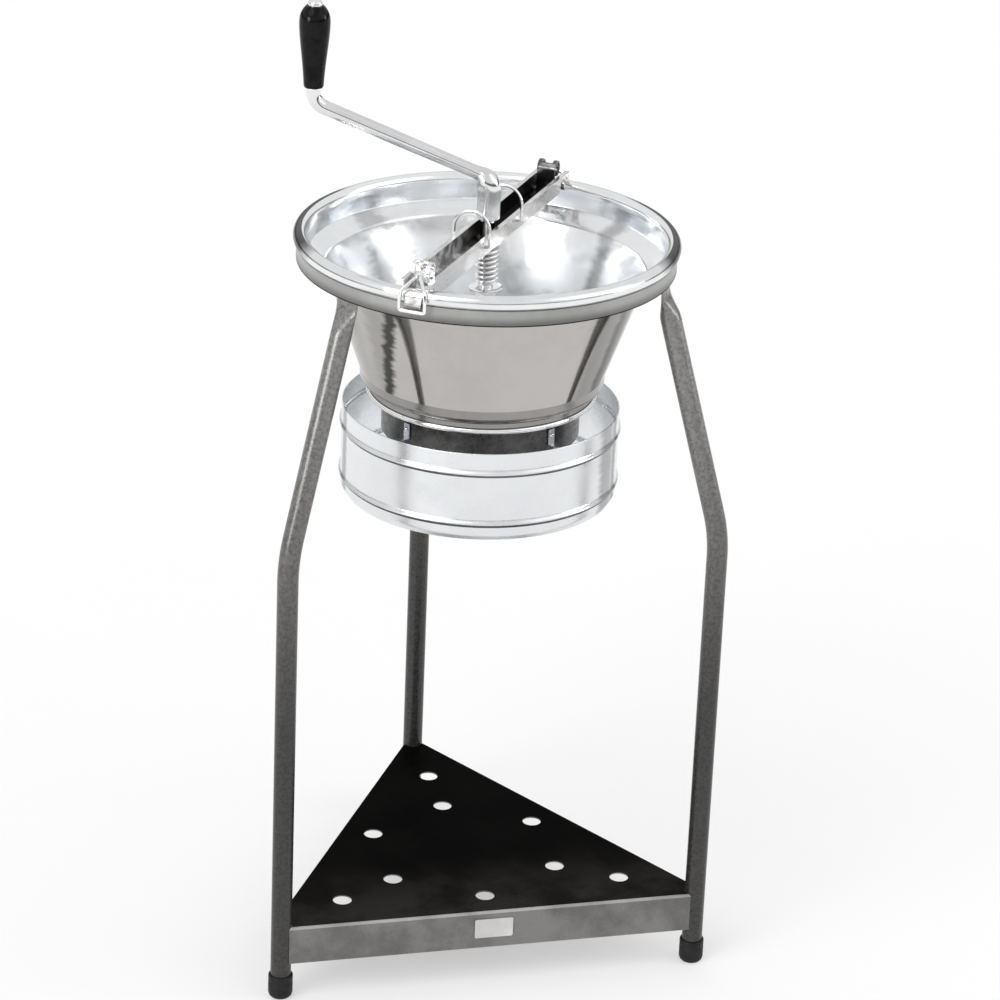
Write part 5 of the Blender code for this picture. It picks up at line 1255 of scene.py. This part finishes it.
# ---------------------------------------------------------------- studio
def make_floor():
    """A pale paper floor that camera and reflections see a little brighter than its shade."""
    begin()
    bpy.ops.mesh.primitive_grid_add(x_subdivisions=4, y_subdivisions=4, size=40.0, location=(0.0, 0.0, 0.0))
    floor = bpy.context.active_object
    floor.name = "studio_floor"
    material, tree, shader, place = surface("studio_floor", metallic=0.0, shine=0.0)
    clouds = placed(tree, CLOUDING, (-800, 200), place, scale=0.6, hardness=0.1)
    colour = tone(tree, (-300, 250), clouds["Mask"], grey(0.93), grey(0.95))
    tree.links.new(colour, shader.inputs["Base Color"])
    shader.inputs["Roughness"].default_value = 0.9
    seen = node(tree, "ShaderNodeLightPath", (-300, 600)).outputs
    either = reckoned(tree, (-100, 600), "MAXIMUM", seen["Is Camera Ray"], seen["Is Glossy Ray"])
    share = reckoned(tree, (100, 600), "MULTIPLY", either, 0.45)
    paper = node(tree, "ShaderNodeEmission", (100, 400)).outputs["Emission"]
    mix = node(tree, "ShaderNodeMixShader", (400, 300), {0: share, 1: shader.outputs["BSDF"], 2: paper})
    tree.links.new(mix.outputs["Shader"], tree.nodes["Material Output"].inputs["Surface"])
    floor.data.materials.append(material)


def make_sky():
    """A pale room: dark near the floor, bright from a little above it."""
    world = bpy.data.worlds.new("studio")
    bpy.context.scene.world = world
    world.use_nodes = True
    tree = world.node_tree
    place = node(tree, "ShaderNodeTexCoord", (-900, 0))
    parts = node(tree, "ShaderNodeSeparateXYZ", (-700, 0), {0: place.outputs["Generated"]})
    ramp = node(tree, "ShaderNodeValToRGB", (-450, 0), {"Fac": parts.outputs["Z"]})
    stops = ramp.color_ramp.elements
    stops[0].position, stops[0].color = 0.02, (*grey(0.06), 1.0)
    stops[1].position, stops[1].color = 0.85, (*grey(0.90), 1.0)
    stops.new(0.20).color = (*grey(0.95), 1.0)
    stops.new(0.09).color = (*grey(0.16), 1.0)
    sky = tree.nodes["Background"].inputs
    tree.links.new(ramp.outputs["Color"], sky["Color"])
    sky["Strength"].default_value = 0.88


def make_lamps():
    """Four soft suns: a key, a fill and a low one on either side. Each: azimuth, elevation, strength, angle."""
    for name, azimuth, elevation, strength, spread_angle in (
        ("key", 215.0, 48.0, 0.66, 40.0), ("fill", 330.0, 35.0, 0.25, 50.0),
        ("left_strip", 212.0, 10.0, 1.00, 22.0), ("right_strip", 345.0, 10.0, 0.50, 18.0),
    ):
        begin()
        bpy.ops.object.light_add(type="SUN")
        lamp = bpy.context.active_object
        lamp.name = name
        lamp.data.energy = strength
        lamp.data.angle = math.radians(spread_angle)
        rise = math.radians(elevation)
        towards = around(math.cos(rise), azimuth, math.sin(rise))
        lamp.rotation_euler = towards.to_track_quat("Z", "Y").to_euler()


def make_camera():
    """A long lens from the photograph's side, a little above the rim."""
    azimuth, elevation, roll = -14.4, math.radians(23.3), math.radians(2.4)
    aim, distance, shift_right, shift_up = Vector((0.0, 0.0, 0.450)), 4.1377, 0.0243, 0.0515
    back = around(math.cos(elevation), azimuth - 90.0, math.sin(elevation))
    right = around(1.0, azimuth)
    up = back.cross(right)
    place = MILL_AXIS + aim + back * distance + right * shift_right + up * shift_up
    leaned_right = right * math.cos(roll) + up * math.sin(roll)
    leaned_up = up * math.cos(roll) - right * math.sin(roll)
    begin()
    bpy.ops.object.camera_add()
    camera = bpy.context.active_object
    camera.matrix_world = placing(leaned_right, leaned_up, back, place)
    camera.data.lens = 139.9
    camera.data.sensor_width = 36.0
    bpy.context.scene.camera = camera


make_camera()
make_floor()
make_sky()
make_lamps()
make_legs()
make_feet()
make_hoop()
make_tray()
make_badge()
make_hopper()
make_neck()
make_sieve()
make_skirt()
make_straps()
make_crossbar()
make_bearing()
make_guards()
make_latches()
make_crank()
make_grip()
make_spring()
make_blade()

bpy.context.scene.view_settings.view_transform = "Standard"
